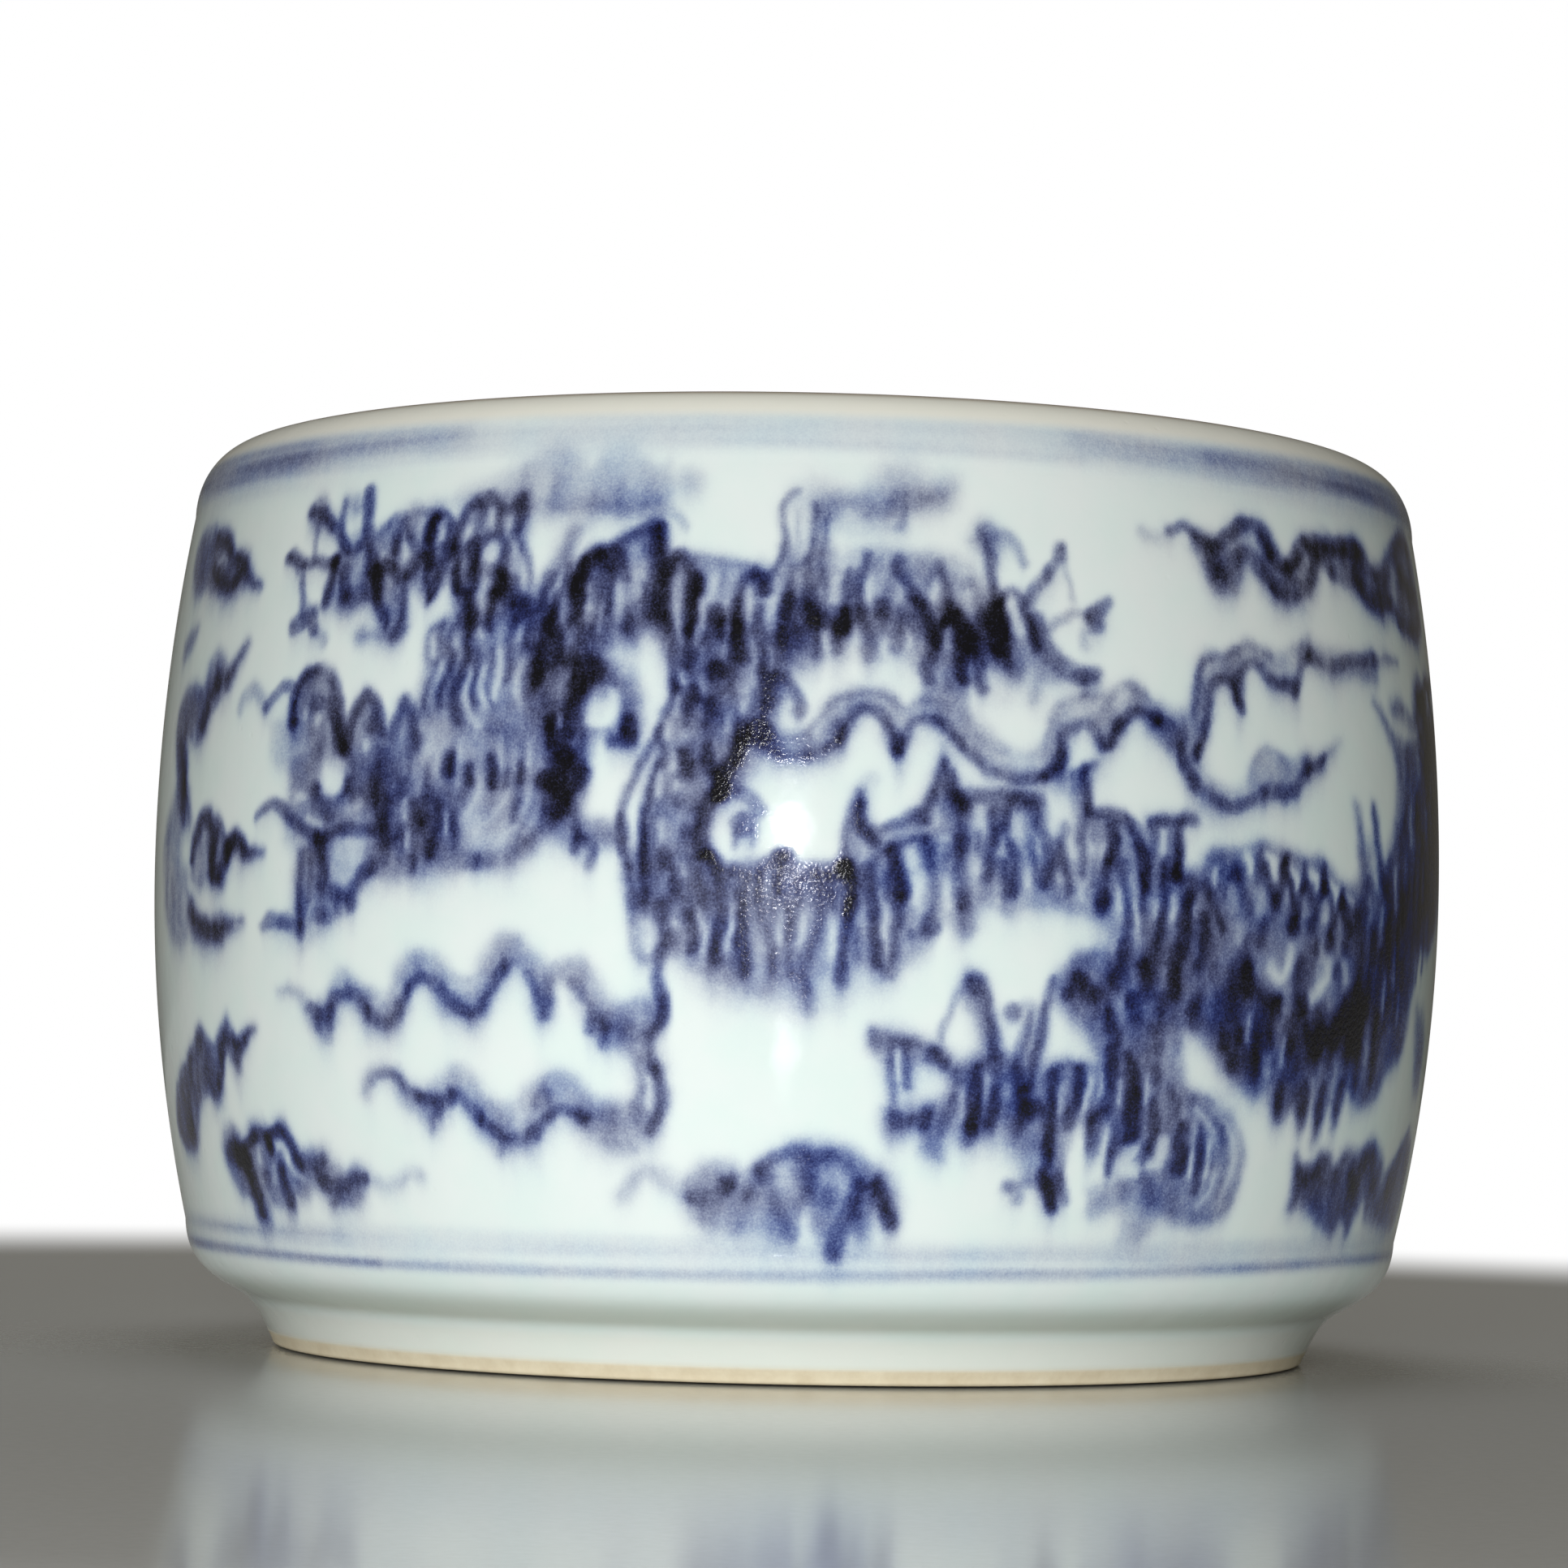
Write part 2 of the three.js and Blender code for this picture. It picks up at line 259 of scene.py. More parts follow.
def chin(p):
    p.wash(1.17, (-53.4, 49.6), (-52.6, 49.8), (-50.8, 50.6), (-48.6, 50.6), (-48.2, 47.2), (-46.4, 46.2),
        (-45, 47.4), (-43, 48.2), (-42.4, 47.4), (-44.6, 46), (-45.2, 44), (-47.2, 43.2), (-50.4, 42.6),
        (-53.8, 42.6))
    p.wash(0.45, (-48.4, 50.4), (-46.4, 50), (-44.8, 49.6), (-43, 50.2), (-42.6, 48.4), (-45, 47.4),
        (-48, 47))
    p.wipe(0.5, 0.9, (-47.2, 49.6), (-46.8, 48.8))
    p.wipe(0.5, 1, (-45.4, 48.6), (-44.4, 48.8))
    p.line(1.15, 1, (-52.6, 49), (-53, 47.4), (-53.1, 45.6), (-52.9, 43.8), (-52.8, 42), (-52.9, 41.4))
    p.line(1, 0.8, (-51.4, 49.6), (-51.5, 48), (-51.4, 46.4), (-51.5, 45))
    p.line(1.34, 1.5, (-50.2, 50.6), (-49.4, 49), (-49.2, 47.4), (-49.6, 46))
    p.line(0.8, 1.6, (-50.6, 43.5), (-48.8, 43.2))
    p.line(0.9, 1.1, (-47.4, 45), (-47.4, 43.8))
    p.line(1.18, 1.3, (-48, 45.4), (-46.4, 45.2), (-45.2, 46.2), (-44.4, 47.2), (-43.2, 47.8),
        (-41.8, 48.2))
    p.line(1.26, 1.2, (-45.8, 45), (-45.5, 44))
    p.line(1.1, 1.5, (-58.8, 42.2, 0.7), (-57.4, 42.8), (-55.4, 42.7), (-54, 42.4), (-52.8, 42.1))
    p.line(0.7, 1, (-55.8, 42.6), (-54.8, 42.4))
    p.wash(0.3, (-58.6, 42), (-55, 41.6), (-52.6, 40), (-50, 41), (-48, 42.6), (-50, 42.8), (-54, 41.8))


def cheek(p):
    p.wash(0.98, (-42.2, 57), (-38, 60), (-34, 60), (-28, 60.4), (-24.6, 59), (-23.6, 53), (-24.4, 50),
        (-27, 48.2), (-31, 48), (-36, 46.8), (-40, 47), (-43.6, 47.6), (-42.4, 51))
    p.wash(0.25, (-44.8, 47.6), (-40, 46.4), (-36.4, 45.6), (-33.6, 46.4), (-30, 47.4), (-26.8, 47.2),
        (-24.8, 48.8), (-28, 49), (-36, 48.4), (-42, 48.4))
    p.wash(0.78, (-41.6, 55), (-35, 55), (-32.8, 53), (-33.2, 49), (-38, 48), (-42, 49))
    p.wipe(0.55, 2.6, (-31.6, 52.2), (-30.4, 50.8), (-28, 50), soft=0.35)
    p.line(0.7, 1.4, (-32, 48.6), (-28, 48.9), (-25.6, 50), (-24, 51.6), (-23.6, 53.6), soft=0.35)
    p.dabs(1.5, 1.7, 2.4, (-41.5, 50.6), soft=0.3)
    p.dabs(1.2, 1.4, 2.4, (-40.8, 53.2), (-39.6, 51.2, 0.8))
    p.dabs(1.9, 1.9, 2.2, (-36.8, 52.2), soft=0.25)
    p.line(1.2, 0.9, (-38, 53.8), (-36.6, 54), (-35.2, 53.4), (-34.9, 51.8), (-35.6, 50.4), (-35.9, 48.8))
    p.dabs(1.2, 1.3, 2.6, (-33.3, 51.6))
    p.gaps(0.75, 0.7, 2.2, (-38.8, 53.2), (-38.6, 50.2, 0.9), (-34.2, 51.6), (-40.4, 48.6, 0.6))
    p.dabs(1.34, 1.1, 1.8, (-37.9, 48), (-35.9, 49.3), (-30.8, 48.6, 0.8))
    p.line(1.42, 0.8, (-36.8, 57), (-36.8, 55.4), (-36.4, 54.4))
    p.dabs(2.22, 1.4, 2.8, (-34.3, 57.4), (-32, 56.4, 0.8))
    p.dabs(2.78, 1.1, 3.4, (-29.4, 57))
    p.dabs(1.18, 0.9, 2.6, (-26.8, 53.2), (-32.6, 54, 0.8), (-28.2, 56.4, 0.8), (-26.6, 56.6, 0.9))
    p.wipe(0.6, 0.6, (-27.9, 55), (-28.6, 53.4), (-29.8, 52))
    p.wipe(0.6, 0.6, (-25.6, 54.8), (-25.8, 53), (-27, 51.2))
    p.wipe(0.6, 0.6, (-24.2, 54.6), (-24.6, 52.8), (-25.8, 50.8))
    p.wipe(0.6, 0.6, (-30.4, 55.6), (-31, 54.2), (-31.8, 53))
    p.gaps(0.6, 0.6, 3.4, (-28.5, 58.8), (-27.3, 58.6), (-24.4, 58.2, 0.8), (-33.2, 58.8, 0.7),
        (-35.6, 57.4, 0.7))
    p.gaps(0.7, 0.9, 3.4, (-25.8, 58.7), (-38.2, 57.2, 0.6))
    p.wipe(0.25, 4, (-40.4, 62.6), (-39.6, 58), (-40.2, 53), (-41, 48.6), soft=0.8)


def beard(p):
    p.wash(0.98, (-38.6, 62), (-37.6, 66), (-37, 70.6), (-33, 71.6), (-30, 71.6), (-26, 72), (-25.4, 66),
        (-25.4, 60), (-31, 60), (-36, 60))
    p.line(0.8, 0.7, (-37, 70.4), (-37.6, 69), (-37.3, 67.7), (-36.6, 66.7), (-36.6, 65.7), (-37.1, 64.7),
        (-37.3, 63.6), (-37, 62.3), (-36.3, 61.3))
    p.line(0.9, 0.8, (-36, 70.6), (-36.3, 69.2), (-36.1, 68), (-36.4, 67))
    p.line(1.1, 0.8, (-34.8, 70.2), (-34.9, 68.8), (-34.7, 67.4), (-34.9, 66.2), (-35.4, 64.9),
        (-35.7, 63.6), (-35.5, 62.6))
    p.line(1.74, 1, (-33, 71), (-32.9, 69), (-33.1, 67.2), (-33.4, 65.8), (-33.9, 64.6), (-34.1, 63.4),
        (-33.9, 62.2), (-33.6, 61.5))
    p.line(1.1, 0.8, (-31.9, 68), (-31.8, 66.5), (-32, 65.3), (-32.1, 64.2), (-31.8, 63))
    p.line(1, 0.8, (-30.2, 68), (-30.2, 65.5), (-30.3, 64.3), (-30, 63.2))
    p.line(0.9, 1.2, (-28.4, 72), (-28.2, 70), (-28.6, 67.6), (-28.6, 65.6))
    p.dabs(1.34, 1.6, 2.6, (-27.6, 71.8))
    p.wipe(0.75, 0.8, (-32.6, 66), (-32.9, 64.3), (-32.5, 62.5), (-31.3, 61))
    p.wipe(0.7, 0.7, (-31.1, 66.5), (-31.2, 64.5), (-30.7, 62.8))
    p.wipe(0.75, 1, (-29.3, 68), (-29.3, 65.5), (-29.6, 63.6))
    p.wipe(0.85, 0.8, (-26.4, 67.8), (-27.1, 65.6), (-27.3, 63.8), (-26.4, 62.6))
    p.wipe(0.7, 0.7, (-36.9, 69.4), (-36.8, 67.8))
    p.wipe(0.7, 0.8, (-35.8, 66.8), (-36.1, 65.4))
    p.gaps(0.75, 0.9, 1.6, (-27.2, 69.5), (-34.3, 69, 0.7), (-31.4, 69.8, 0.8))


def spine(p):
    p.wash(1.85, (-26.4, 68.6), (-23, 67.6), (-20, 68), (-18.4, 66.4), (-19.6, 64.8), (-20.6, 63),
        (-20.2, 59), (-20.2, 55), (-21.2, 52.2), (-23.2, 51.4), (-23.8, 55), (-24.4, 59), (-26.2, 62),
        (-26.6, 65))
    p.gaps(0.7, 0.8, 1.6, (-22.4, 65.8), (-22.7, 61.4, 0.8), (-21.4, 59, 0.5))
    p.gaps(0.5, 0.8, 2.4, (-21.2, 68.6), (-23, 64, 0.7))
    p.line(1.34, 1.1, (-24.1, 71.8), (-24.2, 70.4), (-24.7, 69), (-25, 67.6), (-25.2, 66.2), (-25.3, 64.8))
    p.dabs(1.2, 1.4, 2.4, (-25.4, 65.8))
    p.line(1.66, 1.4, (-24, 70.6), (-23.3, 69), (-22.9, 67.4))
    p.line(1.66, 1.1, (-25.2, 64.4), (-24.5, 62.8), (-24, 61.2), (-23.5, 60), (-23.2, 59), (-22.6, 58))
    p.dabs(1.66, 1.1, 2.2, (-24, 61))
    p.line(1.2, 0.9, (-21.7, 66.4), (-21.9, 64.5), (-21.7, 63), (-21.9, 61.5), (-21.8, 59.8))
    p.line(0.9, 0.8, (-20.7, 64.8), (-20.7, 63), (-20.7, 61), (-20.4, 59.2), (-20.3, 58), (-20.4, 56.8))
    p.dabs(1.2, 1.5, 2.6, (-19.4, 66.4))
    p.line(2.62, 1.8, (-21.8, 58), (-22.3, 57), (-22.9, 56), (-24, 55.9))
    p.line(2.54, 1.4, (-22.8, 55.4), (-22.2, 54.2), (-22.3, 52.6))
    p.line(1.9, 1.6, (-20.4, 56.4), (-20.8, 55.5), (-21.8, 54.9))
    p.line(1.5, 1, (-21.6, 54.2), (-21, 53), (-20.7, 51.6), (-20.2, 50.5), (-19.4, 50), (-19, 49.2),
        (-19.4, 48))
    p.line(1.42, 0.7, (-20.5, 50.8), (-20.7, 49.4))
    p.wash(1.2, (-20.6, 52.2), (-18.8, 51.8), (-16.8, 51.6), (-16.4, 50.2), (-18.4, 49.9), (-20.4, 50.2))
    p.wash(0.65, (-23.4, 52), (-21, 51.6), (-20.8, 49.6), (-22.6, 50.2))
    p.wash(0.6, (-22.4, 70.4), (-18, 71), (-14.6, 70.2), (-15.4, 68.2), (-18.6, 67.6),
        (-22, 67.2), soft=0.4)
    p.wash(0.5, (-22.8, 66), (-19.8, 66.4), (-19.4, 60), (-21.4, 57.6), (-23.4, 60), soft=0.4)


def horn_hook(p):
    p.wash(1.17, (-20.6, 67.4), (-18.4, 66.6), (-16.6, 66.4), (-15.4, 64.8), (-14.9, 62.8), (-14.8, 60.8),
        (-15.8, 59), (-17.6, 59.2), (-18.4, 60), (-20.4, 59.4), (-20.2, 60.4), (-18, 60.8), (-16.6, 61.4),
        (-16.3, 63), (-17.2, 64.4), (-18.6, 64.9), (-20, 64.4), (-20.8, 63.4))
    p.wipe(0.95, 2.6, (-18.8, 62.3), (-18.4, 61.9), soft=0.3)
    p.wipe(0.8, 1.2, (-19.8, 61.2), (-18.6, 61))
    p.line(1.42, 1.1, (-20.4, 64.2), (-19.5, 65.1), (-18, 65.1), (-17, 64.6), (-16.4, 63.6), (-16.2, 62.2))
    p.dabs(2.54, 1.5, 2.4, (-15.8, 60.9))
    p.line(1.1, 1, (-15.6, 59.6), (-16.6, 59.5), (-17.6, 59.3))
    p.line(0.6, 1.2, (-19, 64.6), (-18.8, 63.8))


def neck_lines(p):
    p.wash(1.1, (-12.2, 63.8), (-11, 64.4), (-8, 64.6), (-5, 62.4), (-3, 60), (-4, 57.6), (-5.2, 54.8),
        (-7.4, 54), (-8.6, 51), (-8, 48), (-8.4, 44.6), (-11.4, 43.4), (-15, 44.8), (-15.4, 48),
        (-14, 51.6), (-14.2, 55), (-13.2, 58.6), (-12.6, 61.6))
    p.line(1.34, 0.8, (-11.9, 64.6), (-12, 63.2), (-12.6, 61.8), (-13, 60.6), (-13.9, 59.2), (-14.7, 57.8),
        (-15.5, 56.4), (-16, 55), (-16.3, 53.4), (-16.3, 51.8), (-16.1, 50.3), (-15.8, 49), (-15.5, 47.8))
    p.line(1, 0.9, (-16.3, 52.6), (-16.2, 51), (-15.9, 49.4))
    p.line(0.7, 0.8, (-15.5, 47.8), (-15.2, 46), (-14.9, 44), (-14.8, 42), (-14.6, 40.4), (-14.1, 39.2))
    p.line(1.34, 0.8, (-13, 57.6, 0.6), (-13.5, 56, 0.7), (-13.9, 54.2), (-14.2, 52.6), (-14.2, 51),
        (-14.1, 49.5), (-14, 48), (-14, 46.4), (-14.1, 45))
    p.line(1.2, 0.8, (-14.2, 53.4), (-14.2, 51.4), (-14.1, 49.6), (-14, 47.4))
    p.line(1.2, 0.9, (-13, 60.6), (-12.9, 59.5), (-12.4, 58.3), (-12.3, 57.4))
    p.gaps(0.75, 0.9, 2.4, (-11.5, 62.8, 0.8), (-12.3, 60.6, 0.8), (-12.8, 55.6), (-11.6, 57.6, 0.8),
        (-12.4, 51.2, 0.9))
    p.gaps(0.7, 1.2, 2.2, (-12.4, 46.8), (-11, 55, 0.6), (-10.4, 47.6, 0.7), (-10.6, 59.6, 0.8),
        (-9.2, 62, 0.6))
    p.dabs(1.18, 1.3, 2, (-11.9, 48.6), (-10.4, 56.6), (-10.8, 53.8, 0.8), (-10, 51, 0.9), (-9.8, 63.4),
        (-10.8, 58))


def mane(p):
    p.wash(1.6, (-26.4, 72), (-25.6, 74), (-24.4, 76), (-22.8, 79.2), (-21.9, 79.2), (-22.6, 77.2),
        (-22, 76.4), (-20.4, 77.2), (-18, 77.6), (-15.4, 79.6), (-13.6, 79.6), (-13.2, 76.8), (-12, 77),
        (-10.6, 76), (-9.8, 70), (-10.4, 65.6), (-11.8, 64.4), (-12.2, 66.4), (-13.4, 68.4), (-14.6, 69.6),
        (-16, 68.9), (-17.4, 69.6), (-18.6, 68.4), (-20, 66.8), (-23, 66), (-26.4, 68))
    p.wipe(0.6, 0.8, (-23.4, 75.8), (-23.9, 74.2), (-24.3, 72.8))
    p.wipe(0.55, 1.5, (-16.1, 77.6), (-16, 75.4), (-16.1, 73.4))
    p.wipe(0.5, 1.1, (-17.4, 73.8), (-17.6, 72), (-17.2, 70.6))
    p.wipe(0.45, 1, (-20.3, 72), (-20.2, 70.8))
    p.wipe(0.65, 1.6, (-12.1, 74.4), (-12.1, 72.6), (-11.8, 70.2, 0.5), (-11.5, 68.6, 0.4))
    p.line(1.42, 1.2, (-24.4, 75.2), (-25, 73.4), (-25.2, 72))
    p.line(1, 0.7, (-22.9, 76), (-23.2, 74.2), (-23.9, 72), (-24.2, 70.6))
    p.line(2.46, 1.4, (-19.9, 76.8, 0.7), (-20.8, 76), (-21.5, 74.8), (-21.7, 73.5), (-21.6, 72.3, 0.8),
        (-21.5, 71.3, 0.6), (-21.9, 70.6, 0.5))
    p.line(1.1, 1, (-21.2, 76.4), (-20, 77), (-18.6, 77.3), (-17.6, 78), (-16.4, 78.8), (-15.2, 79.5),
        (-14.2, 79.6))
    p.line(1.42, 1.5, (-19.6, 76.2), (-18.6, 76), (-18.1, 76.8))
    p.line(1.34, 0.9, (-18.4, 75.4), (-18.5, 73.4), (-18.6, 71.4))
    p.line(0.6, 0.6, (-16.6, 74.5), (-16.2, 72.5), (-15.8, 70.8))
    p.line(1.98, 1.2, (-14.2, 79), (-14, 77.4), (-13.9, 75.6), (-13.9, 74), (-13.8, 72.2), (-13.3, 71.2))
    p.line(0.9, 0.8, (-13.5, 79.4), (-13.3, 77.8), (-13.3, 76.4), (-13.5, 74.8))
    p.line(0.9, 1, (-14.8, 71.4), (-14.2, 70.6), (-13.4, 70.8))
    p.line(0.8, 1.1, (-16.6, 70.6), (-16.2, 69.4), (-15.8, 69))
    p.line(1.98, 1.1, (-12.9, 72.8, 0.6), (-13, 74.6), (-12.8, 76), (-12.2, 76.7), (-11.4, 76.7),
        (-10.8, 76), (-10.4, 74.8), (-10.3, 73.5), (-10.5, 72), (-10.6, 70.5), (-10.7, 69.7))
    p.line(1.26, 1.1, (-13.2, 72), (-12.7, 70.4), (-12.3, 68.8), (-12, 67.2), (-11.8, 65.6), (-11.9, 64.4))
    p.dabs(0.9, 0.8, 2.6, (-22.4, 74.2), (-19.6, 73.6), (-17, 75.4), (-15.2, 73.2), (-24.8, 69.4),
        (-21.2, 69.4), (-19.8, 70.2, 0.8), (-16.6, 71.2, 0.7), (-9.8, 72.2, 0.8))
    p.gaps(0.6, 0.6, 2.4, (-22.9, 71.6), (-20.6, 72.8), (-19.2, 71), (-17.8, 73.4), (-22.4, 68.4),
        (-15.2, 75.6), (-23.6, 74.4, 0.8), (-12.6, 68.4, 0.6))
    p.line(0.4, 0.8, (-14.8, 80.3), (-13.4, 80.8), (-12.2, 80.4), (-11.2, 79.4))
    p.wash(0.42, (-31, 82), (-29.4, 84.6), (-27, 86.4), (-24.4, 87), (-22.2, 86.2), (-21.4, 85.2),
        (-20.2, 86.4), (-18, 86.9), (-16, 86.2), (-14.4, 85.2), (-13.2, 85.6), (-12.6, 84.6), (-10.4, 84.4),
        (-10.2, 82.8), (-12.6, 82.2), (-13.6, 81.4), (-16.4, 80.9), (-20, 80.6), (-23.4, 80.9),
        (-27, 81.2), soft=0.45)
    p.wash(0.4, (-28.6, 81.8), (-26, 83.4), (-23.6, 83.6), (-21.6, 82.8), (-19, 83.4), (-16, 83.2),
        (-14, 82.8), (-13.4, 81.4), (-16.4, 80.9), (-20, 80.6), (-23.4, 80.9), (-27, 81.2), soft=0.6)
    p.line(0.5, 1, (-28, 81.6), (-25, 81.6), (-22.4, 81.2), (-19.8, 81.4), (-17, 81.3),
        (-14.6, 81.8), soft=0.35)
    p.line(0.9, 0.9, (-28.4, 78.6), (-27.6, 77.4), (-26.8, 76.2), (-26.6, 74.4), (-26.8, 72.6))
    p.line(1.2, 1.6, (-28.6, 74.2), (-27.6, 72.6), (-26.4, 71.8))


def brow_ridge(p):
    p.wash(0.78, (-10.4, 76.8), (-7, 76.4), (-4.6, 76.4), (-2.6, 75.8), (-1.6, 77.8), (0.2, 77.2),
        (2.6, 77.2), (2.8, 72), (-1.8, 66), (-10.6, 66))
    p.wash(0.98, (-10.8, 70), (-8, 71), (-1.6, 71), (-1.4, 66), (-2.2, 62), (-4, 59.4), (-8.6, 60),
        (-11.4, 63.8), (-11, 67))
    p.line(0.5, 0.9, (-10, 76.4), (-8, 76.1), (-6, 75.9), (-4.6, 76))
    p.gaps(0.6, 0.9, 3.6, (-9.4, 71.2), (-7.2, 74, 0.5), (-6.6, 69.6, 0.4), (-9.2, 67.6, 0.4),
        (-4.2, 67.8, 0.6))
    p.wipe(0.7, 0.9, (-4.8, 73.6), (-4.7, 72.2), (-4.4, 70.6))
    p.wipe(0.6, 1.1, (-2.6, 74.4), (-2.7, 72), (-2.5, 69.8))
    p.wipe(0.8, 1.1, (-11, 65.7), (-10.9, 65))
    p.dabs(2.06, 1.8, 2, (-8, 71.2))
    p.dabs(1.66, 1, 2.2, (-7.3, 70), (-9.8, 74.2, 0.9))
    p.line(2.22, 1.1, (-6.3, 72.2), (-6, 71), (-5.6, 69.9))
    p.line(1.26, 0.9, (-6, 72.6), (-5.9, 73.8), (-5.3, 74.9), (-4.4, 75.3), (-3.6, 74.8), (-3.2, 73.6))
    p.dabs(1.1, 1.6, 2.2, (-3.5, 74.4), (-4.6, 75.2, 0.7))
    p.line(1.1, 0.6, (-3.1, 75.4), (-2.4, 76.2), (-1.9, 77.4), (-1.6, 78.6), (-2, 79.8), (-2, 81),
        (-1.6, 82.1), (-0.6, 82.8))
    p.dabs(1.98, 1.2, 3.2, (-1.2, 72.2))
    p.dabs(1.42, 1.3, 2.4, (-1.9, 69.2))
    p.line(1.2, 1.1, (-3.8, 72), (-3.5, 69.4), (-3.4, 67), (-3.3, 65), (-3.2, 63))
    p.dabs(1.2, 1.5, 3, (-5.6, 68.2))
    p.gaps(0.6, 0.6, 2.2, (-8.6, 73.6), (-10, 69.2), (-7, 67.6), (-4.6, 65.6), (-8.8, 64.8), (-5.4, 62.2),
        (-0.4, 74.2), (1.8, 73.6, 0.8), (-2.8, 67.2, 0.8), (-6.8, 61, 0.8))
    p.dabs(0.8, 0.7, 2.4, (-9, 69.6), (-7.4, 73.8), (-6.4, 65.6), (-4.4, 63.4), (-8.8, 60.8), (-10.4, 62),
        (-1, 75))
    p.dabs(1.74, 1.7, 2.2, (-7.6, 66))
    p.dabs(1.34, 1.3, 2, (-9.7, 63.8), (-8.4, 62.4, 0.9), (-6.4, 64, 0.8))
    p.line(0.4, 0.5, (-0.4, 80.8), (-0.5, 79.4), (-0.3, 78))
    p.dabs(1.1, 1.6, 1.6, (0.4, 75.8))
    p.dabs(0.8, 0.9, 2.4, (0.8, 73.4), (-0.2, 69))
    p.line(1, 0.55, (1.2, 81.4), (1.1, 80), (1, 78.6), (0.9, 77.4), (0.5, 76.4))
    p.line(1, 0.55, (2.5, 80.6), (2, 78.8), (1.9, 77), (1.8, 75.6), (1.9, 74.4))
    p.wash(0.25, (0.6, 82), (2.6, 81.4), (2.4, 78), (2.4, 75), (1, 75), (0.4, 77.6))
    p.wash(0.3, (-2, 81.4), (-0.6, 83.6), (1.6, 84.4), (3.6, 83.6), (5.4, 83.4), (6.8, 85.2), (9.2, 86.2),
        (11.4, 85.4), (13, 84.9), (15.2, 84.4), (14.4, 82.6), (12, 81.6), (7, 80.8), (2.6, 80.6), soft=0.5)
    p.wash(0.3, (2.4, 82.4), (5, 82.8), (7.4, 84), (10, 84.2), (13, 83.8), (13.4, 82.4), (10, 81.6),
        (6.4, 81), (3, 80.8), soft=0.5)
    p.line(0.65, 1.6, (1.8, 81), (3.4, 81.9), (5.2, 81.8), (6.6, 81.2), (8.2, 81.6), (10, 82.4),
        (11.4, 82.6), (13.4, 83), soft=0.35)
    p.line(0.5, 0.9, (10, 81.4), (9.6, 80.4), (9.2, 79.8))
    p.line(0.18, 1.2, (3, 80), (6, 79.4), (9, 79.6), soft=0.4)


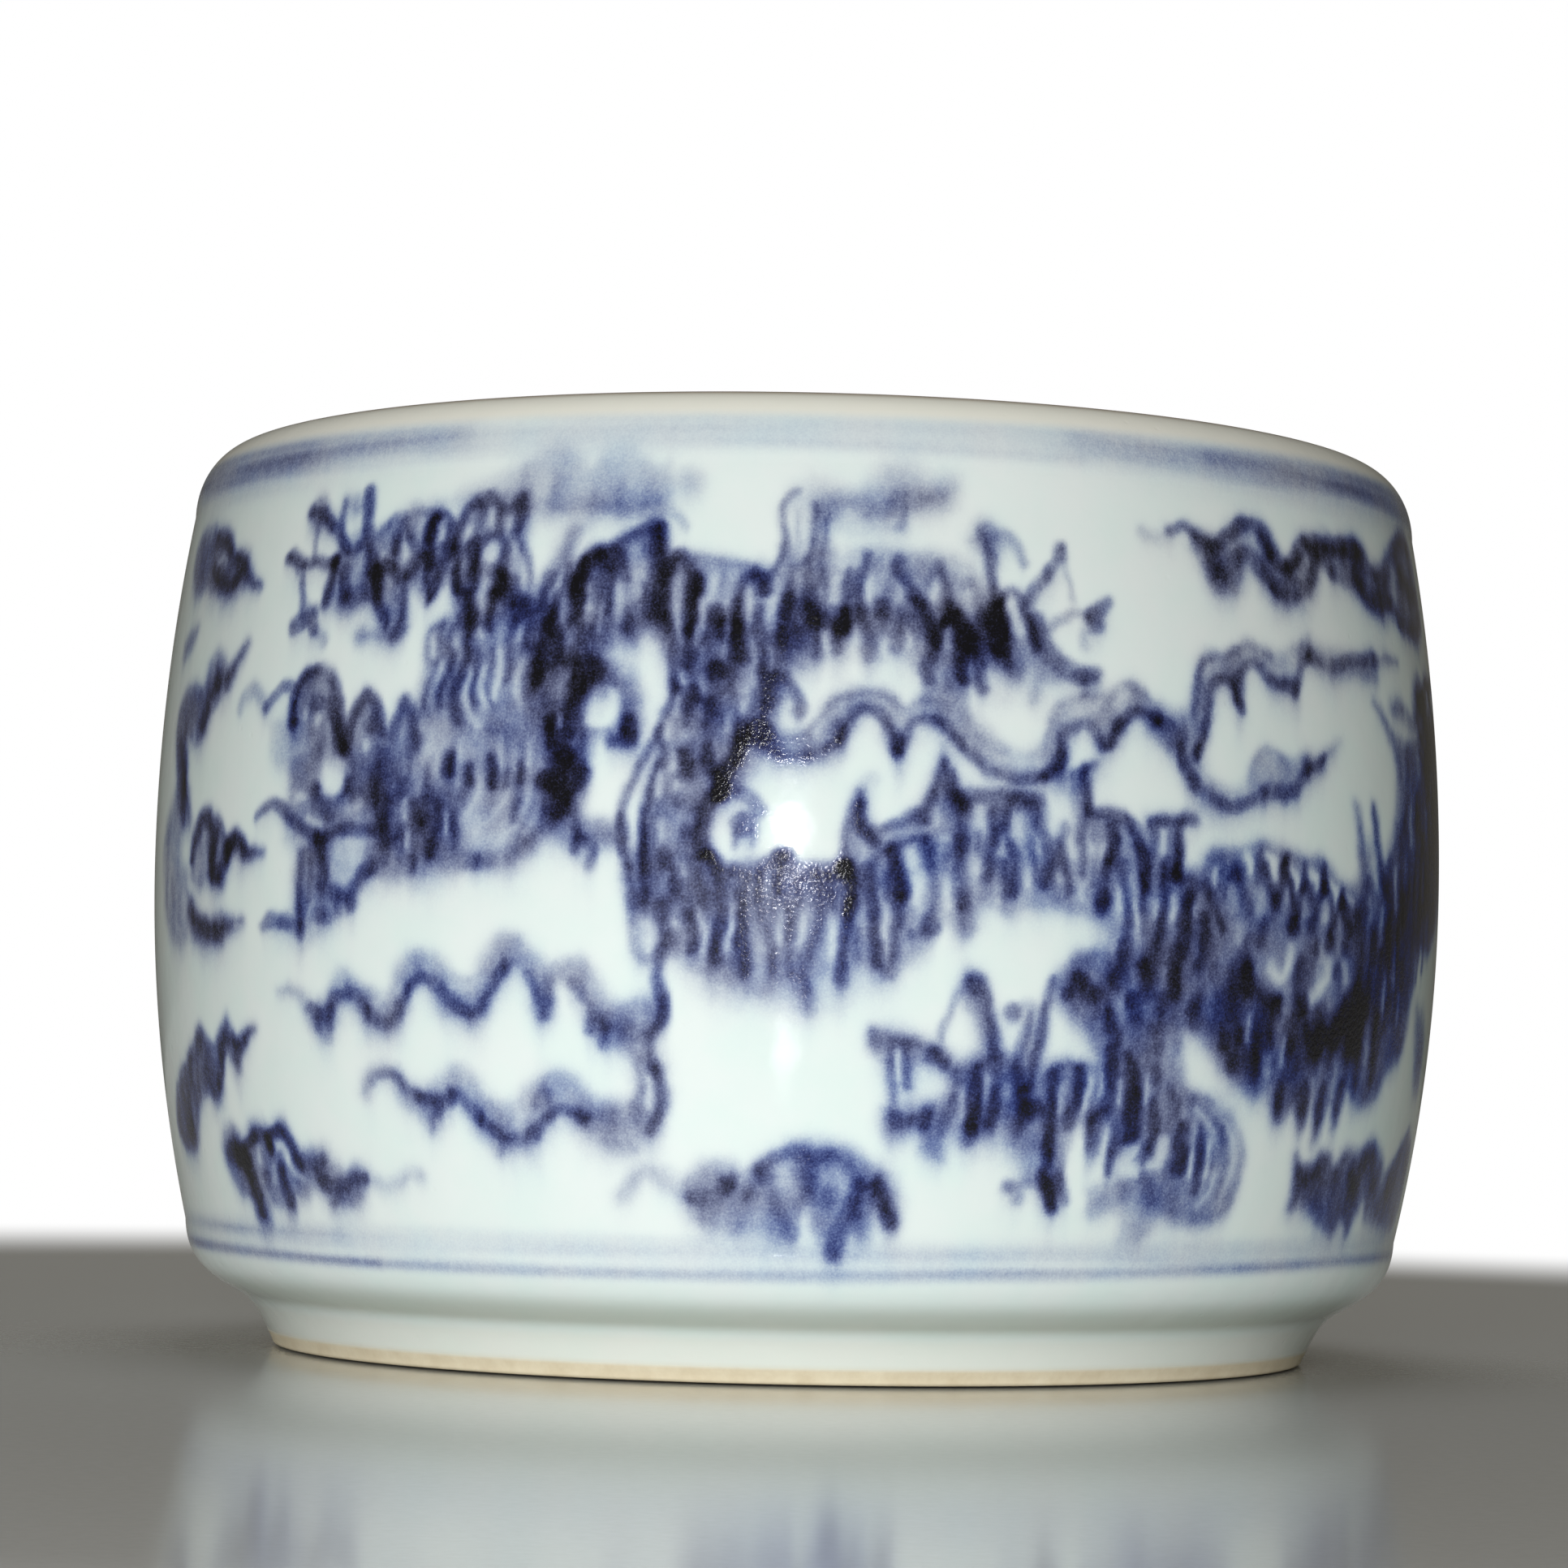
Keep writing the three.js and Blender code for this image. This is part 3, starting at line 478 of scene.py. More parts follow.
def back_fringe(p):
    p.wash(0.78, (-1.4, 74.6), (1.4, 74.8), (4, 75.2), (6, 76.6), (9.4, 76.8), (13, 76.4), (16, 75.2),
        (19, 73.8), (21.6, 73.2), (23.2, 70.6), (22, 67.4), (20.4, 65.4), (18.6, 66.8), (16, 67.4),
        (12.6, 66.6), (10.4, 67), (8.6, 67.8), (6.4, 67.2), (5, 68.6), (3.2, 67.6), (1, 66.4), (-1, 66.6))
    p.wash(0.85, (-1, 73), (5, 72.4), (10, 73), (14, 73), (19.4, 73.6), (19.8, 67.6), (14.6, 67.8),
        (10.4, 69.6), (5, 69.6), (-1, 69.4))
    p.wash(0.28, (3.6, 76.4), (7, 77.6), (12.6, 77.3), (16.6, 76), (18, 74), (14, 75), (9, 75.4), soft=0.4)
    p.line(0.25, 0.8, (4.4, 77), (7, 77.5), (10, 77.2), (13, 77.3), (15.4, 76.6), (16.6, 75.4), soft=0.3)
    p.gaps(0.75, 1.1, 2.6, (3, 73.8), (6.4, 73.6, 0.9), (9.4, 73.5, 0.75), (12.5, 73.9, 0.8),
        (10.1, 72.4, 0.5))
    p.gaps(0.8, 0.9, 2.2, (2.4, 68.9), (5.1, 69.2), (10.1, 69.2, 0.8), (13.9, 69.4, 1.1), (7.8, 68.6, 0.8),
        (16, 66.8, 0.7))
    p.gaps(0.45, 1.2, 2.4, (15.7, 73.2))
    p.line(1.26, 0.9, (6.2, 76.7), (5.9, 75.6), (5.5, 74.6), (5.2, 73.4))
    p.line(1.66, 1.2, (9.4, 76.4), (9.5, 75.4), (10, 74.4), (10.6, 73.4), (11.4, 72.6))
    p.line(0.9, 0.8, (9, 75.8), (8.3, 74.4), (8, 73))
    p.line(1.18, 0.8, (12.9, 76.4), (13.3, 75.2), (13.8, 74), (13.9, 72.8))
    p.line(0.6, 0.7, (12.5, 75.7), (11.7, 74.6), (11.2, 73.4))
    p.line(0.6, 0.7, (15.2, 74.6), (15.9, 75.1), (16.5, 74), (16.7, 72.8))
    p.line(0.9, 1, (4.3, 75), (4.1, 73.4), (4, 72))
    p.dabs(1.98, 1.4, 2.6, (1.2, 71.2))
    p.dabs(2.54, 1.3, 2.8, (4, 71))
    p.line(1.18, 1.2, (1.4, 70.8), (2.8, 70.8), (4, 70.6))
    p.line(1.34, 0.8, (4, 70.4), (3.5, 69.2), (3.4, 67.9))
    p.line(1, 0.9, (1.5, 69.6), (1.5, 68.6), (1.4, 67.4))
    p.line(1.26, 0.9, (5.6, 72.2), (6.2, 70.6), (6.4, 69.2), (6.4, 67.6))
    p.dabs(1.66, 1.7, 2, (7.7, 72))
    p.line(1.2, 1, (9.6, 71.6), (9.2, 70.2), (8.9, 68.4))
    p.line(1.9, 1.3, (10.4, 72.8), (11.4, 72.2), (12.1, 71), (12.3, 69.4), (12, 68), (11.8, 66.6),
        (12, 65.9))
    p.dabs(1.2, 1.2, 2.4, (13, 69.6))
    p.dabs(1.74, 1.4, 2.2, (14.2, 72), (13.6, 71.2, 0.7))
    p.line(2.3, 1.4, (14.8, 71.6), (15.5, 70.4), (15.5, 69), (15.2, 67.6), (15.3, 66.4, 0.8),
        (15.7, 65.6, 0.6))
    p.line(2.14, 1.2, (16.6, 70.5), (16.5, 69), (16.7, 67.5), (16.9, 66, 0.8), (17.2, 64.8, 0.6))
    p.line(2.14, 1.7, (17.4, 71.8), (18.4, 72.4), (18.8, 71.5), (19, 70), (18.9, 68.6), (19.4, 67.3, 0.7))
    p.wash(0.8, (15, 71.6), (17, 71.4), (19.6, 71.6), (19.4, 68.6), (15, 68.4))
    p.wash(1.04, (14.6, 68.2), (13.2, 66.2), (11.4, 63.9), (13.4, 64.2), (14.8, 63.8), (15.6, 65.6))
    p.wash(0.15, (16.8, 65.2), (19.2, 65), (19, 63.4), (17.2, 63.4), soft=0.4)
    p.line(0.6, 1.6, (20.6, 70.8), (20.6, 68.8), (20.2, 66.6), soft=0.35)


def tail_tufts(p):
    p.line(1.42, 1, (17.4, 80), (17.8, 78.8), (18.2, 77.6), (18.1, 76.4), (18.1, 75.2), (18.4, 74),
        (18.6, 72.8))
    p.wash(1.04, (16.2, 78.8), (17, 80.8), (18.6, 80), (19.2, 79), (18.6, 77.8), (17.6, 78))
    p.line(0.55, 1, (18.8, 79.6), (19.8, 79.4), (20.6, 78.6), (21.3, 77.2))
    p.line(1.42, 0.8, (19, 73.6), (20, 74.2), (20.9, 73.7), (21.4, 72.6), (21.8, 71.4), (22.3, 70.2),
        (22.5, 69.2))
    p.line(1.2, 0.9, (21.9, 71.6), (22.2, 70.4), (22.6, 69.4))
    p.wipe(0.8, 1.1, (19.9, 73), (20.6, 71.8), (21, 70.6))
    p.line(1.34, 1.1, (25.4, 78.6), (24.9, 77.4), (24.1, 76.4), (23.2, 75.4), (22.3, 74.4), (21.8, 73.4))
    p.dabs(0.8, 1.3, 1.8, (25.4, 78), (24, 76, 0.8))
    p.line(0.45, 0.5, (25.7, 77.8), (25.8, 76.4), (26.1, 75), (26.3, 73.8))
    p.line(1.42, 1.4, (30.3, 73.8, 0.7), (29.4, 73.1), (28.5, 72.5), (28.8, 71.4))
    p.dabs(0.9, 1.6, 1.4, (28.6, 72.4))
    p.line(0.7, 0.8, (28, 72.4), (26.6, 72.6), (25.2, 72), (24, 71.2))
    p.line(0.4, 0.9, (27.8, 71.8), (27.5, 70.6), (27.6, 69.6))
    p.line(1, 1.7, (22.8, 71.8, 0.7), (23.4, 70.2, 0.8), (24, 68.6), (25.4, 67.6), (27, 67),
        (28.6, 66.8, 0.8))
    p.line(1.18, 1.4, (26.8, 66.6), (28.4, 66.7))
    p.line(0.6, 0.8, (27.6, 66.4), (27.4, 65.2))
    p.wash(0.78, (22, 71.6), (23.4, 70.4), (25, 68.4), (25.6, 66.4), (23.4, 66.2), (22.6, 64.4),
        (21.8, 63.9), (22.2, 66.6), (21.8, 69))


def flame(p):
    p.wash(0.95, (-4, 60.2), (-2.2, 58), (0.4, 57.6), (2.8, 58.4), (4.4, 61), (5.6, 62.6), (7.4, 62),
        (8.8, 59.6), (9.4, 58.8), (10.6, 61.4), (13.6, 61.2), (16, 59), (18.4, 56.8), (22.8, 56.4),
        (24.8, 57.6), (25.6, 61), (27.2, 62.4), (28.6, 61.2), (29.2, 59.6), (30.8, 61.2), (32.6, 63),
        (34.6, 61.8), (36.4, 60.4), (38, 61.2), (38.6, 63.4), (36.4, 64), (34.4, 65), (32, 66.2),
        (29.6, 65.4), (26.4, 64.8), (24.4, 63.4), (23.4, 60.4), (21.4, 59), (18.8, 59.4), (16.8, 61.6),
        (14.6, 63.4), (11.6, 63.8), (9.8, 62.8), (8, 64.2), (5.2, 64.5), (2.8, 63.2), (0.8, 60.8), (-2, 60))
    p.wipe(0.5, 0.7, (1.4, 60.6), (2.6, 62), (4, 63.2))
    p.wipe(0.45, 0.8, (7.2, 63.2), (8.6, 62.6), (9.3, 61.4))
    p.wipe(0.4, 1.2, (26.2, 63.8), (28, 63.9), (30.2, 64.4), (31.4, 65))
    p.wipe(0.45, 1, (18.6, 58.4), (20.6, 58.2), (22.6, 58.2))
    p.line(0.45, 0.7, (0.6, 60.4), (2, 61.9), (3.2, 63.2), (4.6, 64.1), (6.2, 64.3), (8, 64), (9.2, 63))
    p.line(1.5, 0.9, (-3.8, 59.6), (-2.2, 58.7), (-0.4, 58.3), (1.4, 58.5), (2.8, 59.2), (3.9, 60.4),
        (4.6, 61.8), (5.4, 62.6), (6.4, 62.7), (7.6, 61.9), (8.4, 60.8), (8.9, 59.8), (9.2, 58.7))
    p.line(1.6, 0.9, (9.3, 59), (9.7, 60.4), (10.4, 61.6), (11.4, 62), (12.6, 61.9), (13.8, 61.4),
        (14.8, 60.4), (16, 59.4), (17.2, 58.2), (18.2, 57.3), (19.8, 56.6), (21.6, 56.6), (23, 57))
    p.dabs(0.9, 1.2, 2, (3.6, 60.6), (9.1, 59.4, 0.8), (15.4, 60, 0.8))
    p.line(0.35, 0.7, (10, 62.9), (11.5, 63.7), (13.5, 63.6), (15.2, 62.8), (16.6, 61.4), (17.8, 60.1),
        (19.2, 59.2))
    p.line(0.35, 0.7, (23, 59.6), (24, 61.8), (24.8, 63.8), (26.6, 64.9), (28.8, 65.1))
    p.line(1.7, 1, (23.2, 57.2), (24.3, 58), (24.8, 59.2), (25.1, 60.8), (25.8, 61.9), (27, 62.4),
        (28.2, 61.9), (28.8, 60.9), (29.4, 60.1), (30.2, 60.6), (30.8, 61.8), (31.6, 62.9), (32.8, 63.4),
        (34, 63.1), (35.2, 62.9))
    p.dabs(1.1, 1.4, 2.2, (24.5, 58.4), (29.6, 60.4), (31.2, 62, 0.7), (35, 63, 0.9))
    p.line(0.5, 1, (28.9, 62.4), (29.6, 64), (30.6, 65.4), (32, 66), (33.4, 65.2), (34.8, 64.2))
    p.line(0.9, 1.4, (34, 62.8), (35.6, 62.6), (37.2, 62.2), (38.2, 61.4))
    p.line(0.5, 1.3, (34.4, 61.6), (35.6, 60.9), (36.6, 60.4))
    p.line(1.18, 1.5, (13.5, 58.4, 0.5), (13.9, 57, 0.8), (14.2, 55.4), (14.8, 54.2))
    p.dabs(1.18, 0.9, 2.4, (14, 56.4))
    p.wash(0.91, (13.4, 59.6), (12.4, 57.2), (11.6, 55), (12, 54), (14.6, 54.2), (14.6, 57))


def flame_fork(p):
    p.wash(1, (37.4, 62.4), (39, 63.8), (39.8, 66), (40.4, 68.4), (41.8, 69.6), (44, 69.8), (46.6, 71.2),
        (48.6, 70.6), (51.4, 70), (54, 71.4), (56, 72), (59, 71.4), (64, 71.6), (69, 71.8), (69, 69),
        (63, 69.2), (59.4, 68.2), (56, 69.8), (54.2, 68.4), (53.4, 66.4), (50, 66.8), (48, 69), (46, 68.4),
        (45.6, 64.4), (43.8, 66.8), (42.2, 66.6), (41.6, 63.4), (40.4, 61), (39.2, 59.6), (37.8, 60.4))
    p.wipe(0.55, 0.8, (41.2, 67.6), (41.8, 68.4))
    p.wipe(0.45, 1.4, (49.8, 69), (51.6, 68.6), (53.2, 69.2), soft=0.3)
    p.line(0.7, 0.9, (39.4, 63.8), (40.1, 65.6), (40.4, 67.4), (41.2, 68.9), (42.6, 69.4), (44, 69.6),
        (45.4, 70.4), (46.6, 70.8), (48.2, 70.4), (49.8, 69.9))
    p.line(1.5, 1, (39.8, 60), (40.4, 61.4), (41.1, 63.2), (41.3, 65), (41.9, 66.6), (43.2, 67.2),
        (44.4, 66.8), (45.1, 65.8), (45.6, 64.6))
    p.dabs(1.26, 1.3, 2.2, (45.3, 66), (40, 60.2, 0.8), (53.4, 67, 0.9))
    p.line(1.5, 1.1, (45.3, 67.4), (46.1, 68.6), (47.4, 69.2), (48.6, 68.8), (49.6, 67.9), (50.8, 67.4),
        (52.4, 67.2), (53.6, 67), (54.2, 68.2), (54.8, 69.4), (56, 70.2))
    p.line(1, 1.4, (55, 70.6), (57, 70.4), (59, 69.7), (61, 70), (63.4, 70.6), (66, 71), (69, 71.2))
    p.wash(0.85, (38.6, 60.6), (40.4, 59), (41.6, 57.4), (44, 56.8), (45.8, 57.6), (47.2, 59.8), (49, 61.2),
        (51, 60.4), (53.2, 60.2), (54.8, 61.2), (57.6, 60.8), (59.6, 61.6), (57, 59.2), (54.6, 58.4),
        (53, 56.4), (50, 56.4), (47, 55.4), (44, 54.4), (41, 55), (39, 56.8), (37.8, 59.4))
    p.line(1.5, 1.3, (37.8, 60.6), (38.4, 59.2), (39.2, 57.6), (40.4, 56.4), (42, 55.6), (43.6, 55.2),
        (45.2, 55.4), (47, 56.2), (48.6, 57.1), (50.2, 57.4), (51.8, 57.1), (53.2, 57.3), (54.1, 58.4),
        (55, 59.6), (56.4, 60, 0.9), (57.9, 60.6, 0.6))
    p.line(0.9, 1, (37.9, 60.2), (38.5, 58.6), (39.6, 57))
    p.line(0.4, 0.9, (46.4, 58.2), (47.4, 59.8), (48.6, 60.8), (50, 60.7), (51.4, 60))
    p.dabs(0.9, 1.3, 2, (55.1, 59.9), (48.2, 56.6, 0.8), (51.4, 56.4, 0.6))
    p.line(0.3, 0.9, (57.8, 60.6), (59.2, 61.4), (60.4, 62.2), soft=0.35)


def cloud_upper(p):
    p.wash(1.56, (40, 81.4), (42, 81), (44.4, 81), (46.4, 82.8), (48.2, 83.4), (50.4, 82.6), (52.2, 80.4),
        (53.8, 79.8), (55.6, 81), (57, 82.6), (60, 82.8), (64, 82.8), (68, 82.6), (68, 79), (64, 78),
        (61.6, 78.2), (60.4, 79.4), (58.6, 79.2), (58, 77), (56, 75.8), (53, 75.2), (50.6, 76), (49, 78),
        (47.8, 78.6), (46.4, 77.2), (44.4, 76), (42.6, 76.6), (41.2, 79))
    p.wipe(0.65, 1, (45.8, 80.3), (47, 81.1), (48.4, 81), (49.4, 80), soft=0.3)
    p.wipe(0.6, 0.9, (56.8, 80.6), (57.4, 79.6))
    p.line(0.5, 0.9, (34.4, 80.9, 0.8), (35.2, 80.4), (36.4, 80.3), (37.4, 80.9), soft=0.3)
    p.line(1.34, 1.4, (37.6, 81, 0.6), (38.8, 81.5, 0.7), (40, 81.5, 0.8), (41.4, 80.8), (42.8, 80.2),
        (44.2, 80.4), (45.6, 81.4), (46.8, 82.4), (48.2, 82.7), (49.6, 82.1), (50.8, 80.9), (52, 79.7),
        (53.2, 79), (54.6, 79.5), (55.6, 80.4), (56.6, 81.5), (58, 82), (60, 81.9), (62, 81.9), (64.4, 82),
        (67, 81.6))
    p.line(1.42, 1, (49.6, 81.6), (50.8, 80.2), (52, 79), (53.4, 78.6), (54.8, 79.4), (55.8, 80.2))
    p.line(1.42, 2, (41.2, 80.4, 0.6), (42, 79.4), (42.8, 78.2), (43.2, 77.2, 0.7), soft=0.3)
    p.line(1.26, 1.6, (43.6, 77.6), (44.8, 78.4), (46.2, 79.3), (47.6, 79.7), (49, 79.1), (50, 77.9),
        (51.4, 76.9), (53, 76.6), (54.8, 76.9), (56.4, 77.2), (57.6, 78), (58.4, 79.4), (58.9, 80.6))
    p.line(1.26, 1.2, (58, 81.2), (60, 81), (62, 81.2), (65, 81.4))
    p.line(0.9, 1.3, (51.4, 76.4), (53, 75.8), (55, 76))
    p.dabs(1.26, 1.5, 1.8, (53.6, 78.6), (61.6, 78.8), (43, 79.6, 0.9))


def body_front(p):
    p.wash(0.8, (-15, 45), (-12, 46), (-8, 47), (-4, 48.4), (0, 47.6), (4.2, 48.6), (4.6, 52), (5.8, 55.2),
        (7.2, 51.4), (10, 53.2), (12.2, 54.6), (14, 56.6), (16.4, 55.6), (22.8, 55.4), (24.4, 53),
        (27, 57.8), (28, 54.6), (31.4, 54), (34, 51), (34.6, 47), (34, 42.6), (31, 42), (29, 44),
        (26, 44.6), (23, 45), (20, 44.4), (17.4, 45), (16, 42), (13.6, 43.6), (11, 40.4), (9, 38.4),
        (6, 39), (4.4, 37.4), (2.4, 38), (1.2, 35.4), (-1, 37), (-3, 36), (-6, 37), (-9.8, 38.4),
        (-11.4, 40), (-14.4, 39.4))
    p.wash(0.2, (-9.6, 38.6), (2, 39), (10, 40), (9, 37.6), (5, 36), (1, 35), (-4, 35.4),
        (-8.6, 36), soft=0.5)
    p.gaps(0.75, 0.9, 4.6, (-11.3, 43.6, 0.7), (-8.9, 42), (-6.1, 42.4), (-1.2, 42.6, 0.7), (0.6, 43),
        (3.3, 42), (8.2, 44), (11, 45.2), (13.9, 46.6), (8.4, 40.6, 0.4), (-13.6, 41.6, 0.8))
    p.gaps(0.7, 1.2, 2.8, (6.1, 49.6, 0.9), (16.8, 52.8), (20.5, 52.6, 1.1), (12.7, 53.4, 0.8),
        (-2.6, 46.4, 0.8), (13.6, 50.4, 0.7), (10.6, 49, 0.7), (-7.6, 46.4, 0.5))
    p.gaps(0.7, 0.8, 2.2, (19.2, 50.6), (21.6, 47.8), (22.9, 50.9, 0.9), (24.7, 48, 0.8), (26, 50.7, 1.1),
        (28, 51.6), (29.3, 50.2, 0.8), (33, 44.6), (31, 46, 1.2), (16.6, 48.6, 1.1), (18.8, 46.2, 0.8),
        (27, 46.8))
    p.wipe(0.75, 2, (24.6, 54.6), (25.2, 53.4), (24.9, 52.6))
    p.gaps(0.45, 0.9, 2.6, (31.4, 51.9), (32.2, 48.4, 0.6))


def body_columns(p):
    p.wash(0.45, (-14, 44.6), (-13, 48), (-9.4, 49.4), (-6, 47.4), (-3, 47.4), (1, 48), (5, 48.4), (8, 49),
        (9, 45.6), (4, 44.6), (-2, 44), (-8, 44), soft=0.4)
    p.dabs(0.9, 1, 2.8, (-12.8, 47.6), (-11.2, 46.2), (-9.4, 47.8), (-5.8, 46.4), (-3.4, 45.8),
        (-1.6, 46.8), (0.2, 45.8), (2.2, 46.6), (3.4, 45, 0.8), (6, 46.6, 0.8))
    p.line(1.18, 1.1, (-12.6, 44.6), (-12.6, 43.2), (-12.2, 41.8))
    p.line(1.9, 1.3, (-10, 43.4), (-10, 42), (-9.8, 40.4))
    p.line(2.06, 1.2, (-8, 49, 0.8), (-7.2, 47.4), (-6.9, 45.4), (-6.9, 43.6), (-7.4, 42), (-7.6, 40.6),
        (-7.2, 39.2))
    p.line(1.74, 1.1, (-4.6, 46.6), (-4.8, 44.6), (-5, 42.6), (-5, 41), (-4.8, 39.4), (-4.6, 38.4))
    p.line(1.1, 0.9, (-3.2, 43.6), (-2.5, 42), (-1.9, 40.4), (-1.8, 38.6))
    p.line(1.18, 0.8, (-0.3, 44.2), (-0.4, 42.8), (-0.2, 41.5))
    p.line(1.26, 0.8, (2.3, 44.6), (2.1, 43), (1.6, 41.4), (1.2, 39.8), (0.9, 38.2), (1, 37))
    p.line(0.4, 1.2, (1.3, 36.4), (1.4, 35.4))
    p.line(1.74, 1.1, (4.3, 48.4), (4.9, 46.8), (5, 45), (4.7, 43), (4.5, 41), (4.4, 39), (4.3, 38))
    p.dabs(1.42, 1.6, 2, (5.1, 44.4), (4.2, 48.2, 0.9))
    p.line(1.5, 1.1, (6.5, 48.2), (6.8, 46.6), (6.9, 45), (7.2, 43.4), (7.3, 42), (7.6, 40.4), (7.8, 39.6))
    p.line(2.46, 1.4, (8.8, 49.6), (9.2, 48.4), (9.6, 46.9), (9.8, 45.8))
    p.line(1.18, 0.9, (9.6, 45.6), (9.5, 43.6), (9.2, 42), (9.1, 40.4))
    p.line(0.6, 1.6, (9.2, 39.6), (8.8, 38.8))
    p.line(1.1, 0.7, (7.2, 49), (8.4, 49.9), (10, 50.6), (11.6, 51))
    p.line(1.74, 1.2, (11.8, 50.4), (12.1, 49.4), (12.2, 48.3))
    p.line(1.1, 0.9, (12.4, 47.6), (12.6, 45.8), (12.6, 44.2))
    p.dabs(1.5, 2, 1.8, (12.4, 43))
    p.line(1, 1.2, (15.4, 54.2), (15.2, 52), (15.1, 50), (15, 48.4), (15.1, 47), (15.4, 45.8), (15.8, 44.8))
    p.dabs(1.2, 1.2, 2.2, (15.1, 50.4), (15.6, 45.2, 0.9))
    p.line(0.4, 1.5, (16, 43.4), (16.1, 42.6))
    p.line(1.18, 1.2, (18.3, 53.4), (18.4, 51.8), (17.9, 50.4), (17.5, 49), (17.4, 47.6))
    p.dabs(0.9, 1.2, 2, (18.3, 51.4), (17.6, 48.6))
    p.line(1.2, 1, (20, 51), (20.4, 49.4), (20.4, 47.8), (20.2, 46.2))
    p.line(0.9, 1.2, (18.9, 48.9), (19.4, 47.6), (19.4, 46.6))
    p.line(1.42, 1.1, (21.6, 54.2), (22.6, 53), (23.5, 51.4), (23.7, 49.8), (23.6, 48.4), (23.4, 47))
    p.line(1, 0.9, (22, 51), (22.1, 49.6), (22.6, 48), (23, 47))
    p.line(1.2, 0.8, (25.4, 52.6), (25.2, 51), (25.3, 49.2), (25.8, 47.6), (25.8, 46.6))
    p.line(1.18, 0.8, (27, 53), (27, 51), (27, 49.4), (27, 48.2))
    p.line(2.54, 1, (30.3, 52.8), (30.5, 51.2), (30.2, 49.7))
    p.line(1.42, 1.2, (29.8, 49.2), (29.4, 47.8), (29.2, 46.4), (29.1, 45))
    p.line(0.9, 0.8, (28.4, 49.2), (28.3, 47.2))
    p.dabs(1.2, 1.5, 2, (31.5, 48.8), (29.2, 45.8))
    p.line(1.18, 1, (31.8, 47.4), (32, 45.4), (32.2, 43.4))
    p.dabs(1.34, 1.8, 2.4, (32.2, 41.4))
    p.line(1.1, 0.8, (33.9, 47), (33.8, 45), (33.9, 43))
    p.dabs(0.9, 0.7, 2.8, (-11.2, 41), (-8.4, 44.4), (-5.8, 40), (-3.2, 46.4), (-0.2, 39.2), (3, 46.2),
        (5.8, 41.2), (8.4, 46.4), (10.8, 43.2), (13.8, 49), (16.6, 50.6), (19.4, 53), (24.6, 50),
        (28.2, 53), (31, 50.4))
    p.line(1.2, 1.2, (14.6, 55), (17, 55.1), (19, 55), (21, 54.8), (22.8, 54.3))
    p.dabs(0.8, 1.6, 1.4, (20.6, 54.4), (15.4, 54.4))
    p.line(1, 0.9, (7, 51.4), (8.6, 52.2), (10, 53), (11.2, 53.6), (12.2, 54.8), (12.8, 56.4), (13.4, 58))
    p.dabs(1.26, 1.4, 1.4, (11.2, 52.9))
    p.line(0.9, 0.9, (4.2, 49.4), (4.4, 51), (4.9, 53), (5.6, 54.8))
    p.line(0.25, 1.1, (5.8, 55.2), (6.7, 56.2), soft=0.3)
    p.line(1.9, 1.2, (5.8, 54, 0.7), (5.9, 52.4), (6.5, 51.4), (7, 50.6))
    p.line(1.34, 0.9, (27.4, 58), (27.5, 56.6), (27.6, 55.2), (27.4, 54))
    p.line(0.9, 0.9, (24.8, 56.9), (26.4, 57.6), (28.2, 58.1))
    p.wash(0.78, (24.4, 57), (28.6, 58.6), (28, 57.2), (27.2, 56), (25, 55.6))
    p.line(1.34, 1.2, (27.8, 54.2), (29.4, 54), (30.6, 53.8), (31.8, 53.2), (32.8, 52.2), (33.4, 50.8),
        (33.8, 49.2), (34.2, 47.4))
    p.line(1.42, 1.1, (33, 51), (33.5, 49.6), (34.1, 47.8))


def belly_eye(p):
    p.line(2.46, 1.5, (-5.4, 61), (-5.3, 59.4), (-5.9, 57.8), (-6.8, 56.4), (-7.2, 55))
    p.line(1.2, 1.4, (-4.4, 60.6), (-3.6, 61.4), (-2.8, 60.6))
    p.line(2.22, 1.4, (-8, 54.4), (-8.7, 52.8), (-8.8, 51), (-8.5, 49.4))
    p.line(1.42, 1.2, (-7.2, 54.6), (-5.8, 54.9), (-4.4, 54.2), (-3.6, 53))
    p.line(1.34, 1.1, (-8.2, 48.8), (-6.6, 47.8), (-5, 47.4), (-3.6, 47.6), (-2.2, 48.4), (-1, 48.9))
    p.line(1.18, 1.5, (-1.4, 48.8), (0, 47.9), (2, 47.8), (4, 48))
    p.dabs(1.34, 2.4, 2.2, (-5, 51.8))
    p.dabs(0.7, 0.7, 1.6, (-5.8, 50.4), (-4.2, 50.4))
    p.line(1.74, 1.3, (-8.6, 58.8), (-8.3, 57.6), (-7.6, 56.4))
    p.dabs(0.8, 1.6, 2.4, (-9.8, 56.8), (-10.6, 59, 0.7), (-9.6, 53.6, 0.8))
    p.line(1.2, 0.9, (-2.6, 65.4), (-1.4, 65), (-0.5, 64), (0.1, 63), (-0.1, 62.2))
    p.wash(0.91, (-4, 65.6), (-1.6, 65.2), (-1.4, 63.8), (-2.6, 62.4), (-2, 60.8), (0, 60), (-3, 59.4))


